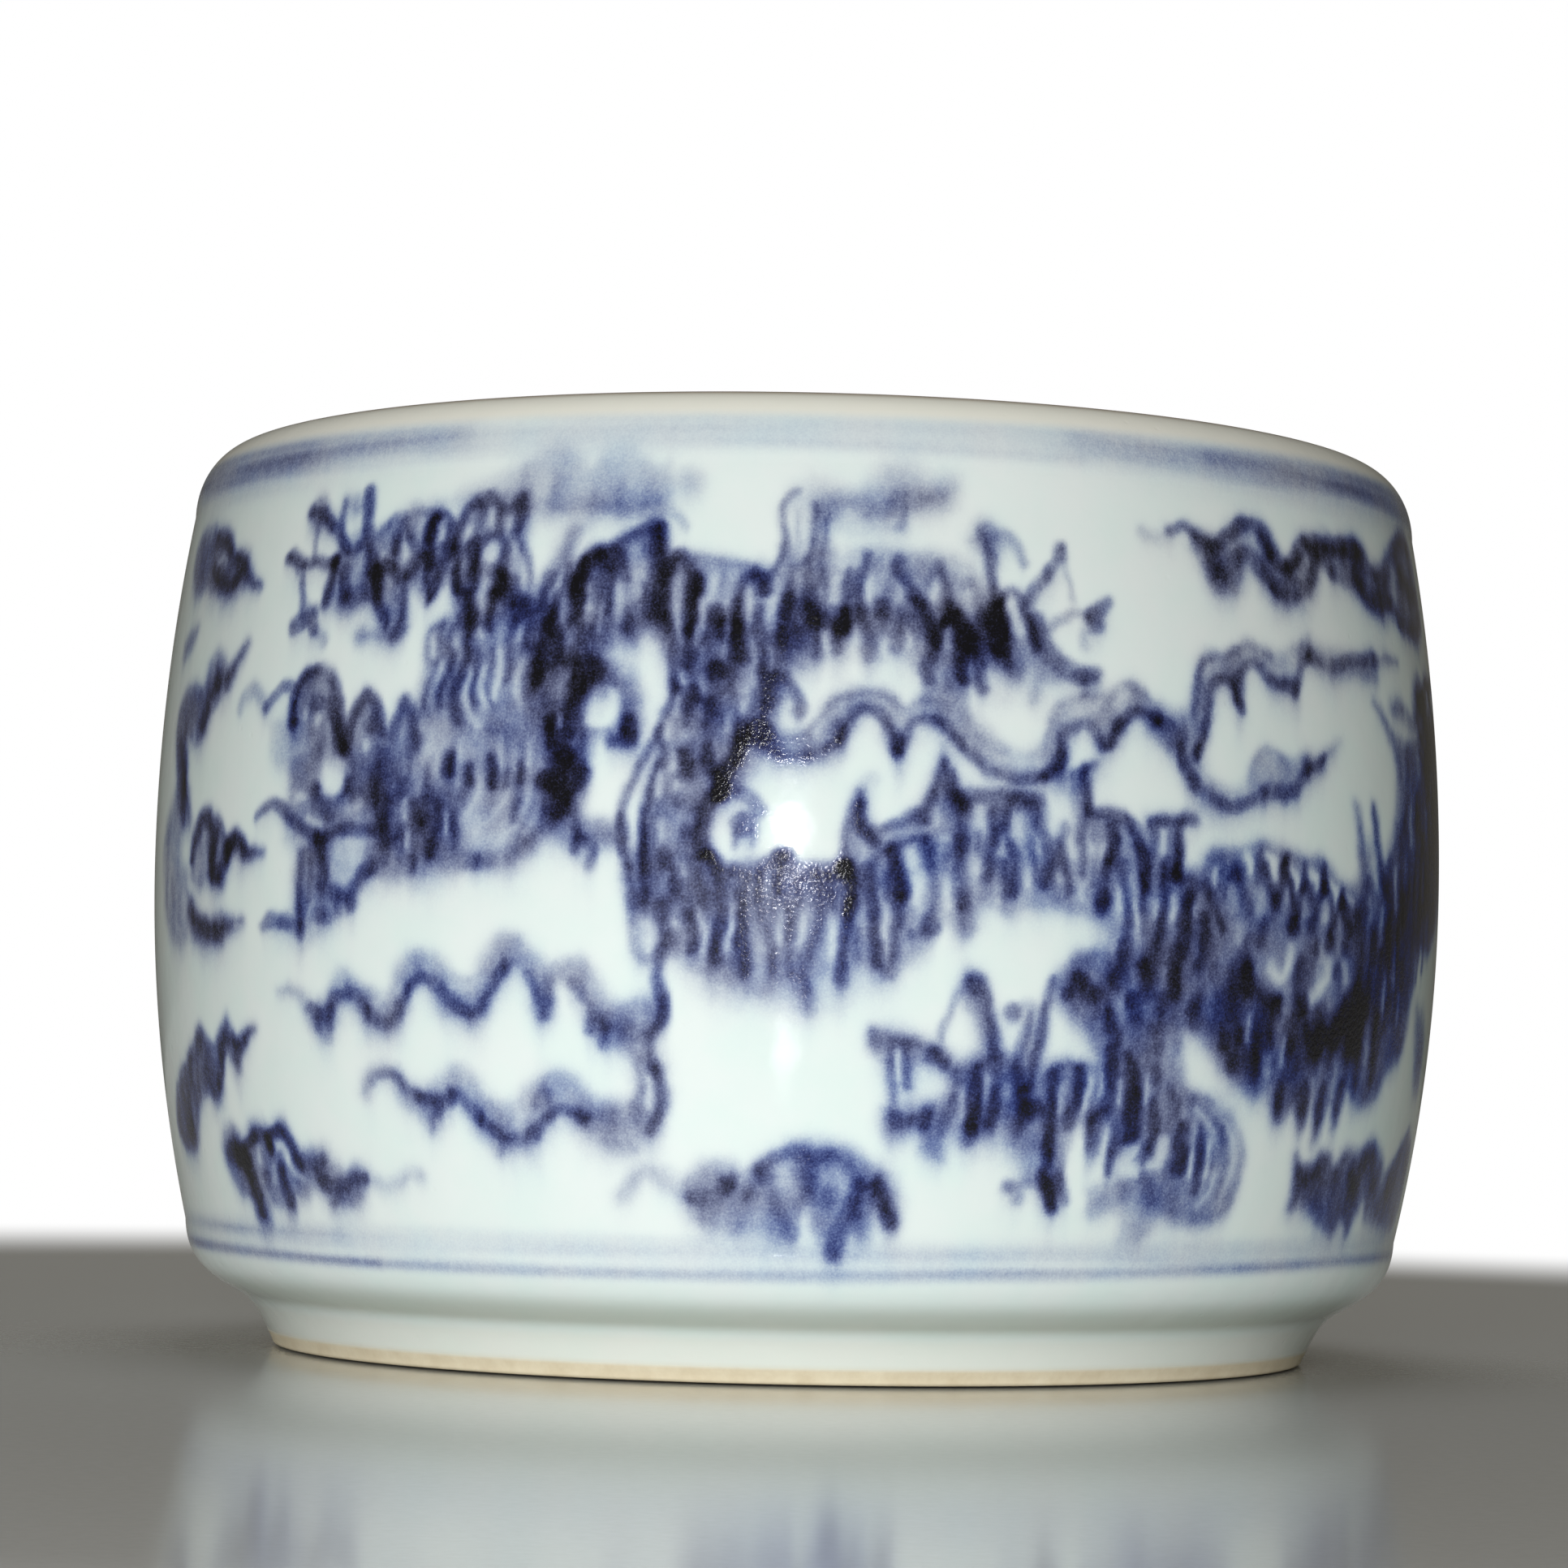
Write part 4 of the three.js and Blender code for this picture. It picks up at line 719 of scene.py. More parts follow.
def flank(p):
    p.wash(1.4, (34.2, 53.6), (36.6, 54.2), (39.8, 54), (38.4, 52.8), (38.4, 49.6), (40.4, 49.4),
        (42, 50.9), (46, 51), (48.4, 51.9), (51.4, 51.2), (55, 50.7), (58.4, 50), (61.4, 48.4), (65, 48.2),
        (66, 40), (66, 32), (60, 31), (56, 30.6), (51, 28.4), (49, 28), (46.4, 29.4), (44, 31), (42, 33.6),
        (39.6, 34.2), (36, 33.6), (33, 35), (31, 39.6), (33.6, 42), (34.6, 46.6), (34, 50.6))
    p.wash(1.25, (42.6, 34.2), (43, 38.4), (45.6, 41.4), (48, 38.6), (51.4, 38), (55.4, 38.6), (60, 36.4),
        (63, 38.4), (66.4, 38), (66.4, 32), (60, 32.4), (54, 31.2), (49.4, 30), (46, 30.4))
    p.wash(2.18, (56, 34.6), (61, 35.2), (64, 37.4), (66.6, 37.2), (66.6, 33), (61, 32.6), (57, 32.8))
    p.wipe(0.9, 1.5, (45.2, 50.9, 0.6), (46.5, 50.2), (46.5, 49.2, 0.5))
    p.wipe(0.9, 1.5, (48.9, 50.8, 0.6), (50, 50), (50, 49, 0.5))
    p.wipe(0.9, 1.3, (52.6, 49.8, 0.7), (53.5, 49), (53.4, 48, 0.5))
    p.wipe(0.9, 1.4, (55.6, 49.4, 0.7), (56.6, 48.7), (56.5, 47.8, 0.5))
    p.wipe(0.9, 1.3, (58.9, 48.4, 0.8), (59.9, 47.8), (60, 46.9, 0.5))
    p.wipe(0.85, 1.2, (61.7, 47.4), (62.5, 46.8), (62.6, 46, 0.6))
    p.gaps(0.85, 1, 3, (35.8, 51.5), (37.4, 45.4, 0.9), (42.2, 48.4, 0.7), (39.8, 45.2, 0.5),
        (35.3, 45.2, 0.8))
    p.gaps(0.5, 1.4, 2.8, (44.6, 46.4), (47.8, 46.4), (51.6, 47, 0.8), (54.5, 46.2, 0.8), (45.4, 43.4, 0.8),
        (52.6, 37.2, 1.2), (50.4, 31, 1.1), (56.2, 31.4, 0.9), (60.7, 44.8, 0.7), (61.9, 40.2))
    p.wipe(0.7, 1.9, (57.8, 46), (57.8, 45.6))
    p.wipe(0.95, 1.7, (52.8, 42.2), (52.4, 40.6), (51.2, 39.6), (50.1, 40.2), soft=0.3)
    p.wipe(0.95, 1.9, (59, 41.2), (58.8, 39.6), (57.6, 38.4), (56.4, 37.6), soft=0.3)
    p.gaps(0.7, 0.9, 2.8, (47.4, 34.2), (52.7, 32, 1.1), (36.4, 38.6, 0.6), (33.2, 38.6, 0.6))
    p.line(1.2, 0.9, (34.3, 53.1), (35.6, 53.7), (37, 53.8), (38.4, 53.8), (39.8, 53.6, 0.6))
    p.line(1.9, 1.2, (37.9, 53.4), (37.9, 52), (37.9, 50.4), (37.7, 49))
    p.dabs(1.18, 1.6, 1.6, (37.7, 48.7))
    p.line(1.5, 1, (36.3, 49.6), (36.2, 48), (36.4, 46.4), (36.1, 44.6), (35.8, 43), (35.6, 42))
    p.line(1.2, 1, (36.4, 48.4), (38.6, 48), (39.8, 47.8), (41, 47.4), (41.8, 46.4), (42.6, 45),
        (43.4, 43.8))
    p.line(1.98, 1.5, (39.4, 46.6, 0.7), (38.8, 45, 0.8), (38.6, 43.4), (38.2, 42), (37.7, 40.6),
        (37.6, 39), (37.7, 37.4))
    p.line(1.9, 1.5, (41, 44.4), (41, 43), (41, 41.6), (40.6, 40.2))
    p.line(1.42, 1.2, (34.6, 40.2), (34.8, 38.6), (35, 37))
    p.dabs(1, 1.5, 2.2, (42.3, 39.4), (40.4, 36.4), (36.2, 36.2), (31, 38.6, 0.8), (33, 36.6, 0.8))


def flank_scales(p):
    p.line(0.25, 0.7, (41, 50.7), (43, 50.8), (45, 51.1), (46.6, 51.6), (48.6, 51.9), (50.6, 51.8),
        (52.6, 51.1), (55, 50.7), (57, 50.5), (58.6, 49.9), (60, 49.1), (62, 48.5), soft=0.3)
    p.line(1.1, 1.1, (45.1, 50.6), (44.8, 49.2), (45.3, 48), (46, 46.8), (46.4, 45.4))
    p.dabs(1.26, 1.4, 1.6, (44.8, 48.8))
    p.line(0.9, 1.5, (48.1, 51.4, 0.6), (48, 50), (48, 48.6))
    p.line(1.2, 1, (48.6, 49.8), (49.4, 47.9), (49.9, 46.6))
    p.line(1.18, 1, (51.6, 50.8), (51.1, 49), (50.3, 47.2))
    p.line(1.18, 1, (51.7, 50.4), (52.3, 48.4), (52.8, 46.4), (53, 45.2))
    p.line(1.26, 1.2, (54.8, 50.2, 0.6), (54.7, 48.8), (54.6, 48))
    p.line(1, 0.9, (54.4, 48), (53.8, 46.4), (53.4, 45))
    p.line(1, 0.9, (55, 48.4), (55.8, 46.8), (56.2, 45.4))
    p.line(1.34, 1.4, (57.8, 49.8, 0.6), (57.8, 48.6), (57.8, 47.8))
    p.line(1, 0.9, (57.6, 48), (56.9, 46.6), (56.6, 45.2))
    p.line(1, 0.9, (58.2, 48.2), (59.2, 46.6), (59.4, 45), (59, 43.6))
    p.line(1.26, 1.2, (61.1, 48, 0.6), (61.2, 46.6), (61.8, 45.4), (62.4, 44))
    p.line(1, 0.9, (61, 47), (60.2, 45.6), (60, 44.4))
    p.dabs(1.2, 1.5, 1.6, (49.8, 46.3))
    p.dabs(1.5, 1.9, 1.9, (52.9, 44.2), (55.7, 44.4, 0.85), (59, 43), (61.8, 42.4, 0.9))
    p.dabs(1.18, 1.3, 3.4, (48.6, 43.2))
    p.dabs(2.22, 1.6, 3.4, (46.8, 38.9))
    p.line(1, 1.1, (46.5, 42.6), (46.6, 41.2), (46.8, 40))
    p.dabs(1.34, 1.5, 2.6, (51, 36.3), (55, 36.5, 0.9), (54.2, 40.2), (60.5, 40.4, 0.8), (56.6, 42.4, 0.8))
    p.dabs(1.26, 1.5, 2.2, (44.3, 33.2), (45.6, 31.2), (50.8, 33.2), (53.8, 32.6, 0.9), (58.4, 32.8, 1.2),
        (46.4, 33.6, 0.8))
    p.dabs(1.26, 1.1, 3.8, (48.6, 33))
    p.line(0.9, 1.4, (47.6, 37.4), (49.4, 37), (51.6, 36.8))


def leg(p):
    p.wash(1.21, (25, 36.4), (25.2, 38.6), (26.6, 40.4), (29.4, 41), (32.4, 40), (33.6, 36.6), (36, 34.6),
        (39, 34), (39.2, 30.6), (40.6, 28.4), (44.4, 27.4), (47, 25.4), (48.4, 22), (48.2, 18.6),
        (46.2, 16.2), (42.4, 15.8), (38.6, 16.6), (34, 18.6), (33.6, 22), (29.6, 21.8), (29, 24.6),
        (27, 24.4), (27.2, 19.6), (26.4, 17.2), (24.6, 19.4), (24.2, 22.6), (21.4, 23.6), (20.2, 25),
        (16.6, 23.4), (15.6, 26), (15.4, 30), (18, 31.6), (21.2, 31), (23, 28.8), (24.6, 30.8),
        (27.4, 30.8), (29.6, 30.8), (28.4, 33.2), (26.4, 35.4))
    p.wash(0.72, (26, 38), (29.6, 38.4), (31.6, 35), (32.4, 31), (34.4, 28.6), (34.6, 24.4), (33, 23.8),
        (31.4, 27), (30, 30.4), (29, 34.4), (27, 36.4))
    p.wash(0.6, (29.6, 18.8), (32, 19.4), (34.6, 19.8), (38, 19), (39.6, 17), (38.2, 15.8), (36.4, 14),
        (34.4, 14.2), (33.6, 16.6), (30.2, 16.6), soft=0.4)
    p.wash(0.28, (25, 38), (26.4, 40.6), (30, 41.8), (34, 41.6), (35, 39.4), (31, 40), (27, 39.4), soft=0.4)
    p.gaps(0.8, 0.8, 3.2, (26.2, 27.4), (28.8, 27.6, 1.1), (31.3, 23.2, 1.1), (30.1, 28.6, 0.7),
        (18.4, 28.2), (16.1, 26.8), (32.4, 28, 0.8), (35.3, 28.4, 0.8))
    p.wipe(0.9, 2, (28.4, 23, 0.6), (28.3, 21.4), (28.4, 19.2), (28.9, 18))
    p.wipe(0.9, 1.9, (34.6, 22.4), (34.2, 21), (35.4, 20.6, 0.7))
    p.wipe(0.85, 1.5, (37.8, 23.4), (37.9, 21.8), (36.9, 20.9, 0.8))
    p.wipe(0.8, 0.8, (41.6, 22.4), (41.7, 20.6))
    p.wipe(0.7, 0.8, (43.9, 23.4), (44.1, 21.8), (43.9, 20.2))
    p.wipe(0.65, 0.6, (41.4, 26.4), (43.8, 25), (45, 22.8), (45.3, 20.8), (44.8, 18.6), (43, 17.4))
    p.wipe(0.65, 0.6, (42.6, 27.2), (45.2, 25.6), (46.8, 23), (47.1, 20.6), (46.4, 18.2), (44.8, 16.8))
    p.wipe(0.5, 0.6, (39.4, 26.2), (41.4, 24.6), (41.6, 22.4), (41.5, 20.4))
    p.gaps(0.6, 1.5, 2.4, (20.6, 28), (30.9, 20.8, 0.8))
    p.line(0.45, 2, (25.8, 37, 0.7), (26.8, 38), (28.2, 37.6), (29.4, 36.4), (30.4, 35), (31.4, 33.6),
        (31.8, 32))
    p.dabs(1.5, 1.6, 1.9, (27.3, 38.3), (28.9, 37), (26.2, 37, 0.7))
    p.dabs(1.58, 1.4, 2.4, (31, 34.6), (30.9, 31.2), (32, 33, 0.8))
    p.line(1.74, 1.2, (33.1, 31.2), (33.6, 29.8), (34, 28.4))
    p.line(1.26, 1, (25.1, 29.8), (25.3, 28.2), (25.4, 26.6), (25.2, 25), (25.1, 23.4), (25.1, 21.6))
    p.dabs(1.26, 1.2, 2.8, (25.2, 23.2))
    p.line(2.14, 1.5, (24.6, 20.6, 0.7), (25.4, 19.6), (25.9, 18.4), (26, 17.4, 0.7))
    p.line(1.18, 0.9, (26.4, 20.6), (27.3, 19), (27.6, 17.8))
    p.line(0.7, 0.8, (25.2, 30.2), (26.4, 30.6), (27.6, 30.2))
    p.line(1.34, 1.1, (27.6, 30), (27.8, 28.6), (27.9, 27.2), (27.4, 26), (27.3, 25))
    p.line(1.26, 0.9, (29.6, 25.8), (29.6, 24.4), (29.7, 23))
    p.line(1.26, 1.1, (31, 29.6), (31.1, 28), (31, 26.6))
    p.line(1.18, 0.9, (29.9, 25.4), (30.8, 26), (31.8, 25.4), (32.2, 24.2), (32.5, 22.8), (32.2, 21.4),
        (32.1, 20.6))
    p.dabs(0.6, 1, 2, (32.3, 22))
    p.line(1.98, 1.6, (33.9, 27.6), (33.8, 26), (34, 24.8), (34.2, 23.8))
    p.line(1.5, 1, (36.2, 27.2), (36.4, 25.6), (36.7, 24), (36.6, 22.6))
    p.line(1.1, 0.9, (38, 28.6), (38.8, 27.4), (39.2, 26), (39.8, 25))
    p.line(1.82, 1.6, (40.3, 25, 0.7), (39.8, 23.8), (40.2, 22.4), (40.1, 21))
    p.line(1.58, 1.1, (42.3, 24.8, 0.7), (42.7, 23), (42.6, 21.4), (42.8, 19.8), (42.7, 18.8))
    p.line(0.6, 1.4, (40.6, 27.2), (42.4, 27.2), (44, 26.2), (45, 24.6), (45.1, 22.8), (45, 21.2))
    p.line(0.7, 1, (44, 25.8), (45.8, 24), (46.4, 22), (46.5, 20), (46.2, 18.2), (44.8, 16.8), (43, 16.5))
    p.line(0.35, 0.9, (45.4, 26.4), (47, 25), (48, 23), (48.3, 21), (48, 19), (47, 17.2), (45.8, 16.4))
    p.dabs(0.9, 1.4, 1.8, (36.2, 29.6), (38.2, 32.4, 0.8), (36.4, 32, 0.8))
    p.wipe(0.3, 5, (45.4, 25), (46.4, 21.6), (44.6, 17.8), soft=0.5)
    p.wash(0.7, (35, 41.6), (40.6, 41.4), (42.6, 38), (41.4, 35), (38, 34.8), (35.2, 36.4), soft=0.5)
    p.wash(0.35, (16, 30.8), (22.6, 31.2), (25.4, 28.6), (24, 22.8), (20.6, 22.6), (17, 24.4), soft=0.5)


def claws(p):
    p.line(0.7, 0.7, (13.6, 33), (14.1, 34.6), (14.9, 36.2), (15.8, 37.4), (16.6, 38.4))
    p.wash(1.17, (16.6, 39), (17.4, 38.6), (18.2, 36.2), (19, 33.4), (19.4, 31.4), (18.2, 31.2),
        (17.4, 33.6), (16.4, 35.4), (15.8, 37))
    p.dabs(1.74, 1.4, 2, (16.8, 37.5))
    p.line(1.26, 0.9, (17.5, 38), (18, 36.4), (18.4, 34.8), (18.7, 33.2), (18.7, 31.6))
    p.dabs(1.18, 1.7, 1.3, (20.4, 35.4))
    p.line(0.4, 1, (21, 35.9), (22.2, 36), (23.4, 35.6))
    p.line(0.8, 1.1, (22.2, 35), (21.9, 34), (21.6, 32.8), (21.3, 31.6))
    p.line(1.34, 1, (24.8, 38.2, 0.6), (24.2, 36.4), (23.9, 35), (23.5, 33.4), (23.2, 31.8), (23, 30),
        (22.9, 28.4))
    p.wash(0.4, (19.4, 31.6), (21.2, 31.8), (22.6, 34.8), (24.2, 36), (23.4, 31), (21.4, 30.4))
    p.line(1.9, 1.4, (17.4, 30.4, 0.6), (17.2, 28.8), (17.3, 27.2), (17.3, 25.8), (17.1, 24.6))
    p.line(0.5, 1.3, (17.1, 24.4), (17, 23.4))
    p.line(1.2, 1.2, (19.2, 28.4, 0.7), (19.2, 27), (19.4, 25.8), (19.2, 24.8))
    p.line(1.58, 1.2, (21.4, 30.6), (21.6, 29.4), (21.9, 28.2))
    p.line(1.2, 1, (22.4, 28), (22.3, 26.2), (22.2, 24.6))
    p.dabs(2.38, 2.1, 2, (23.6, 26.2))
    p.wash(0.45, (20.2, 24.6), (22, 24), (24.6, 22.6), (24.6, 20.6), (22.6, 19.8), (21.6, 21.8), soft=0.4)
    p.line(0.8, 1.3, (20.9, 19.2), (21.7, 18.8), (22.2, 18))
    p.line(0.5, 1.2, (21.4, 19.4), (23, 19.6), (24.6, 20.4))
    p.wash(0.85, (7.2, 33.8), (9.4, 33.8), (12, 32.8), (14.4, 31.6), (15.6, 29.8), (14.4, 30), (12.6, 30.6),
        (11.6, 30), (11.2, 28), (10.2, 28.4), (9.6, 26.6), (8.8, 29), (8.4, 31), (7.2, 32))
    p.line(1, 1.1, (7.6, 33.2), (8, 32.3))
    p.line(1.1, 0.9, (8.8, 33.2), (9.2, 32.2), (9.3, 31), (9.1, 30.2))
    p.line(0.4, 0.7, (7.8, 32), (8.8, 30.4), (9.6, 28.8), (9.8, 27.4), (9.6, 26.2))
    p.wipe(0.9, 1, (10, 31.6), (10, 30.2), (10.2, 29.2))
    p.line(1.34, 0.8, (10.4, 32.2), (10.7, 31), (10.8, 29.6), (10.9, 28.4))
    p.line(1, 0.9, (9.8, 32.9), (11.2, 32.3), (12.4, 32.1), (13.4, 31.6), (14.2, 30.8), (15.2, 29.9))
    p.dabs(1.18, 1.5, 1.2, (13, 31.3), (14.2, 30.7, 0.8))
    p.wash(1.04, (8.8, 26.2), (10.4, 26.6), (12.4, 27), (14.8, 27.6), (15.6, 29.4), (15.6, 26), (15, 23.2),
        (14.6, 21.4), (13.2, 22.2), (12, 24), (9.6, 23.6), (8.8, 24.6))
    p.dabs(1.58, 1.7, 1.6, (10, 25.2), (11.4, 25.4, 0.6))
    p.dabs(1.66, 1.5, 2.4, (12.8, 25.4))
    p.line(0.9, 1, (15.2, 27.2), (14.8, 25.6), (14.4, 24.2))


def cloud_under(p):
    p.wash(1.15, (-10.4, 19), (-8.6, 20.4), (-6.4, 20.8), (-4.4, 20), (-2.8, 21), (-0.6, 22.4), (2, 22.9),
        (5, 22.6), (7.4, 21.4), (9.4, 20), (10.4, 18), (10.3, 15.6), (9.2, 15.4), (8.2, 16.6), (7.2, 14),
        (5.8, 14.4), (4.6, 12.4), (3.4, 13.4), (2.4, 15), (1.4, 16.2), (0.8, 14.4), (-0.4, 14.2),
        (-3.6, 14.4), (-7, 14.6), (-9.2, 15.4), (-10.2, 17))
    p.wipe(0.3, 3.4, (-9, 15.6), (-4, 14.8), (1, 14.6), (5.4, 13.4), soft=0.5)
    p.wipe(0.5, 1.5, (-0.6, 20.2), (-0.3, 19.2), soft=0.35)
    p.wipe(0.45, 1.9, (3.6, 19.8), (4.4, 19.2), soft=0.4)
    p.wipe(0.6, 1.3, (1.8, 16.8), (1.9, 15.8))
    p.line(0.9, 1.2, (-2.8, 20.2), (-1.4, 21.4), (0, 21.9), (1.8, 21.6), (3.6, 21.9), (5, 21.4),
        (5.9, 20.4), (6.5, 19.2))
    p.line(1, 1.4, (-9.6, 17.6), (-8.2, 17.8), (-7, 18.4), (-6, 19.2))
    p.dabs(1.1, 1.6, 1.8, (-6.2, 18.9), (-2.6, 19.6), (-4, 17.8, 0.8))
    p.line(0.6, 1.2, (1.8, 21), (1.8, 19.8), (1.6, 18.8))
    p.line(0.6, 1.1, (-1.3, 17.4), (-0.8, 16.2), (-0.1, 15.2), (0.5, 14.4))
    p.dabs(0.5, 1.7, 1.4, (3.8, 17.8))
    p.line(0.8, 1.5, (6.8, 19.2), (6, 17.8), (5.4, 16.4), (5, 15), (4.6, 13.6), (4.4, 12.8))
    p.dabs(1.2, 1.4, 2.4, (6.1, 16.8))
    p.line(1.58, 1.3, (8.3, 19.4), (9, 18.2), (9.4, 17), (9.7, 15.6))
    p.line(0.45, 1.4, (-16.4, 17.7), (-15.6, 18.5), (-14.8, 19.4), (-13.8, 19.9), (-12.6, 19.4),
        (-11.6, 18.6), (-10.4, 18), soft=0.3)


def ribbon_upper(p):
    p.wash(0.98, (-52.2, 35.6), (-51.6, 33.6), (-50.4, 31.8), (-48.8, 31.6), (-48, 33.6), (-47, 35),
        (-45.6, 34.9), (-44.4, 33.2), (-42.6, 32.4), (-41, 32.4), (-39.6, 33.6), (-38.6, 35.6),
        (-37.4, 36.8), (-35.8, 36.4), (-34.6, 34), (-32.6, 33.4), (-31, 32.8), (-29.8, 33.8), (-28.8, 35.6),
        (-27.8, 37.6), (-26.4, 38), (-25.2, 37), (-24.6, 34), (-23.2, 34), (-22.8, 36.6), (-21.4, 37),
        (-20, 35.4), (-18.6, 32.6), (-16.6, 31.2), (-14.4, 30.4), (-13, 32), (-13, 35.6), (-14.4, 36),
        (-16.2, 35.4), (-17.6, 36.2), (-18.6, 37.8), (-20, 39.2), (-22, 39), (-23.4, 38.6), (-24.8, 40),
        (-26.4, 41.2), (-28.4, 41.2), (-30, 39.6), (-31.2, 37.8), (-32.8, 37.4), (-34.4, 38.4), (-36, 39.8),
        (-38, 39.9), (-39.6, 38.8), (-41, 36.2), (-43.2, 36.3), (-45.4, 37.4), (-46.8, 38), (-48, 37),
        (-49, 35.4), (-50.6, 34.9))
    p.line(0.5, 1.1, (-56.2, 36, 0.7), (-54.8, 36.3), (-53.4, 36), (-52.2, 35), (-51.2, 34.3), soft=0.3)
    p.line(1.34, 1.2, (-51.4, 34.4), (-50.4, 33.8), (-49.4, 33.6), (-48.7, 34.2), (-48.1, 35.1),
        (-47.2, 35.8), (-46.2, 36), (-45, 35.6), (-44, 34.7), (-43, 33.9), (-42, 33.4), (-41, 33.4),
        (-40, 34.3), (-39.2, 35.5), (-38.3, 36.7), (-37.2, 37.4), (-36, 37.2), (-34.8, 36.5), (-33.8, 35.3),
        (-32.8, 34.4), (-31.6, 34), (-30.6, 34.3), (-29.8, 35.2), (-29.2, 36.4), (-28.6, 37.6),
        (-27.8, 38.6))
    p.dabs(1, 1.4, 2.4, (-48.8, 33.6), (-39.8, 34.6, 0.8), (-38.6, 36.2, 0.7), (-43.6, 34, 0.7),
        (-50.2, 33, 0.8))
    p.line(1, 0.9, (-25.4, 37.6), (-24.8, 36.4), (-24.3, 35.2), (-24, 34.2))
    p.dabs(0.9, 1.2, 2.4, (-23.4, 36.2))
    p.line(1.34, 1, (-20.8, 37), (-20, 36.3), (-19.2, 35.2), (-18.4, 34), (-17.4, 33.2))
    p.dabs(1.18, 1.2, 2, (-19.2, 33.4), (-17.8, 32))
    p.line(0.7, 2, (-17.4, 33.8), (-15.8, 33), (-14.2, 32.6))
    p.line(1.42, 1.1, (-12, 40.8), (-12.9, 39.6), (-13, 38), (-12.8, 36.6), (-12.3, 35.2), (-12.4, 34),
        (-13.1, 33), (-13.6, 31.8), (-13.6, 30.4), (-13.1, 29.2))
    p.dabs(0.9, 1.1, 2.6, (-12.4, 34.8))
    p.wipe(0.5, 0.7, (-42.2, 35.2), (-41.6, 35.6))
    p.wipe(0.4, 1.2, (-33, 36.4), (-31.6, 36.4), (-30.8, 37))


def ribbon_lower(p):
    p.wash(0.85, (-45, 26.4), (-44, 28.2), (-42.4, 29.2), (-40.6, 28.9), (-38.8, 27.6), (-36.8, 27.2),
        (-35, 27.9), (-33.4, 28.9), (-31.6, 28.3), (-30.2, 26.8), (-28.8, 26), (-27.2, 26.2), (-25.6, 27.5),
        (-24.2, 28.8), (-22.4, 29.1), (-20.8, 28.2), (-19.2, 26.8), (-17, 26.2), (-15.4, 26.4), (-14.8, 28),
        (-15, 30.4), (-12.4, 30.4), (-12.2, 26), (-13, 23.2), (-15, 21.9), (-17.6, 22), (-19.6, 23),
        (-21.4, 24.4), (-23, 24.4), (-24.4, 22.4), (-26.4, 21.2), (-28.8, 21.2), (-30.2, 22.4),
        (-31.6, 24.2), (-33, 25.9), (-34.4, 25.4), (-35.4, 23.9), (-36.8, 23.4), (-38, 25), (-39.6, 25.4),
        (-40.6, 27.2), (-42.2, 28), (-43.6, 27.2), (-44.4, 26))
    p.wipe(0.9, 0.8, (-13.9, 28.6), (-13.8, 27), (-13.8, 25.8, 0.6))
    p.line(0.6, 0.9, (-44.4, 27), (-43.4, 27.9), (-42.4, 28.4), (-41.3, 28.4), (-40.2, 27.9), (-39.2, 27),
        (-38, 26.5))
    p.line(0.7, 1, (-41, 28.2), (-39.8, 27.4), (-38.8, 26.6), (-37.6, 26.4))
    p.line(1.42, 1.1, (-37.6, 26.4), (-36.4, 26), (-35.4, 25.8), (-34.6, 26.3), (-33.6, 26.7),
        (-32.6, 26.5), (-31.6, 25.5), (-30.6, 24.3), (-29.4, 23.3), (-28.2, 22.7), (-27, 22.5),
        (-25.8, 22.8), (-24.7, 23.6), (-23.6, 24.7), (-22.4, 25.3), (-21.2, 25.2), (-20, 24.6))
    p.dabs(1.26, 1.3, 2.2, (-35.8, 25.4), (-24.9, 23, 0.8), (-30.6, 24.6, 0.7), (-33.8, 26.4, 0.6))
    p.line(0.7, 0.5, (-36.6, 24.2), (-36.7, 23))
    p.line(0.5, 0.8, (-28.6, 22), (-28.9, 21.2))
    p.line(0.7, 1.5, (-24.7, 26), (-24, 27))
    p.line(0.6, 1.8, (-20.4, 25), (-18.4, 24.8), (-16.6, 24.9), (-15, 25.2), soft=0.3)
    p.line(0.5, 0.8, (-14.9, 30.6), (-14.6, 29), (-14.5, 27.4), (-15, 26))
    p.line(1.74, 1, (-13, 29.4), (-12.6, 28.2), (-12.4, 26.8), (-12.7, 25.4), (-13.3, 24.2), (-13.6, 23.5))


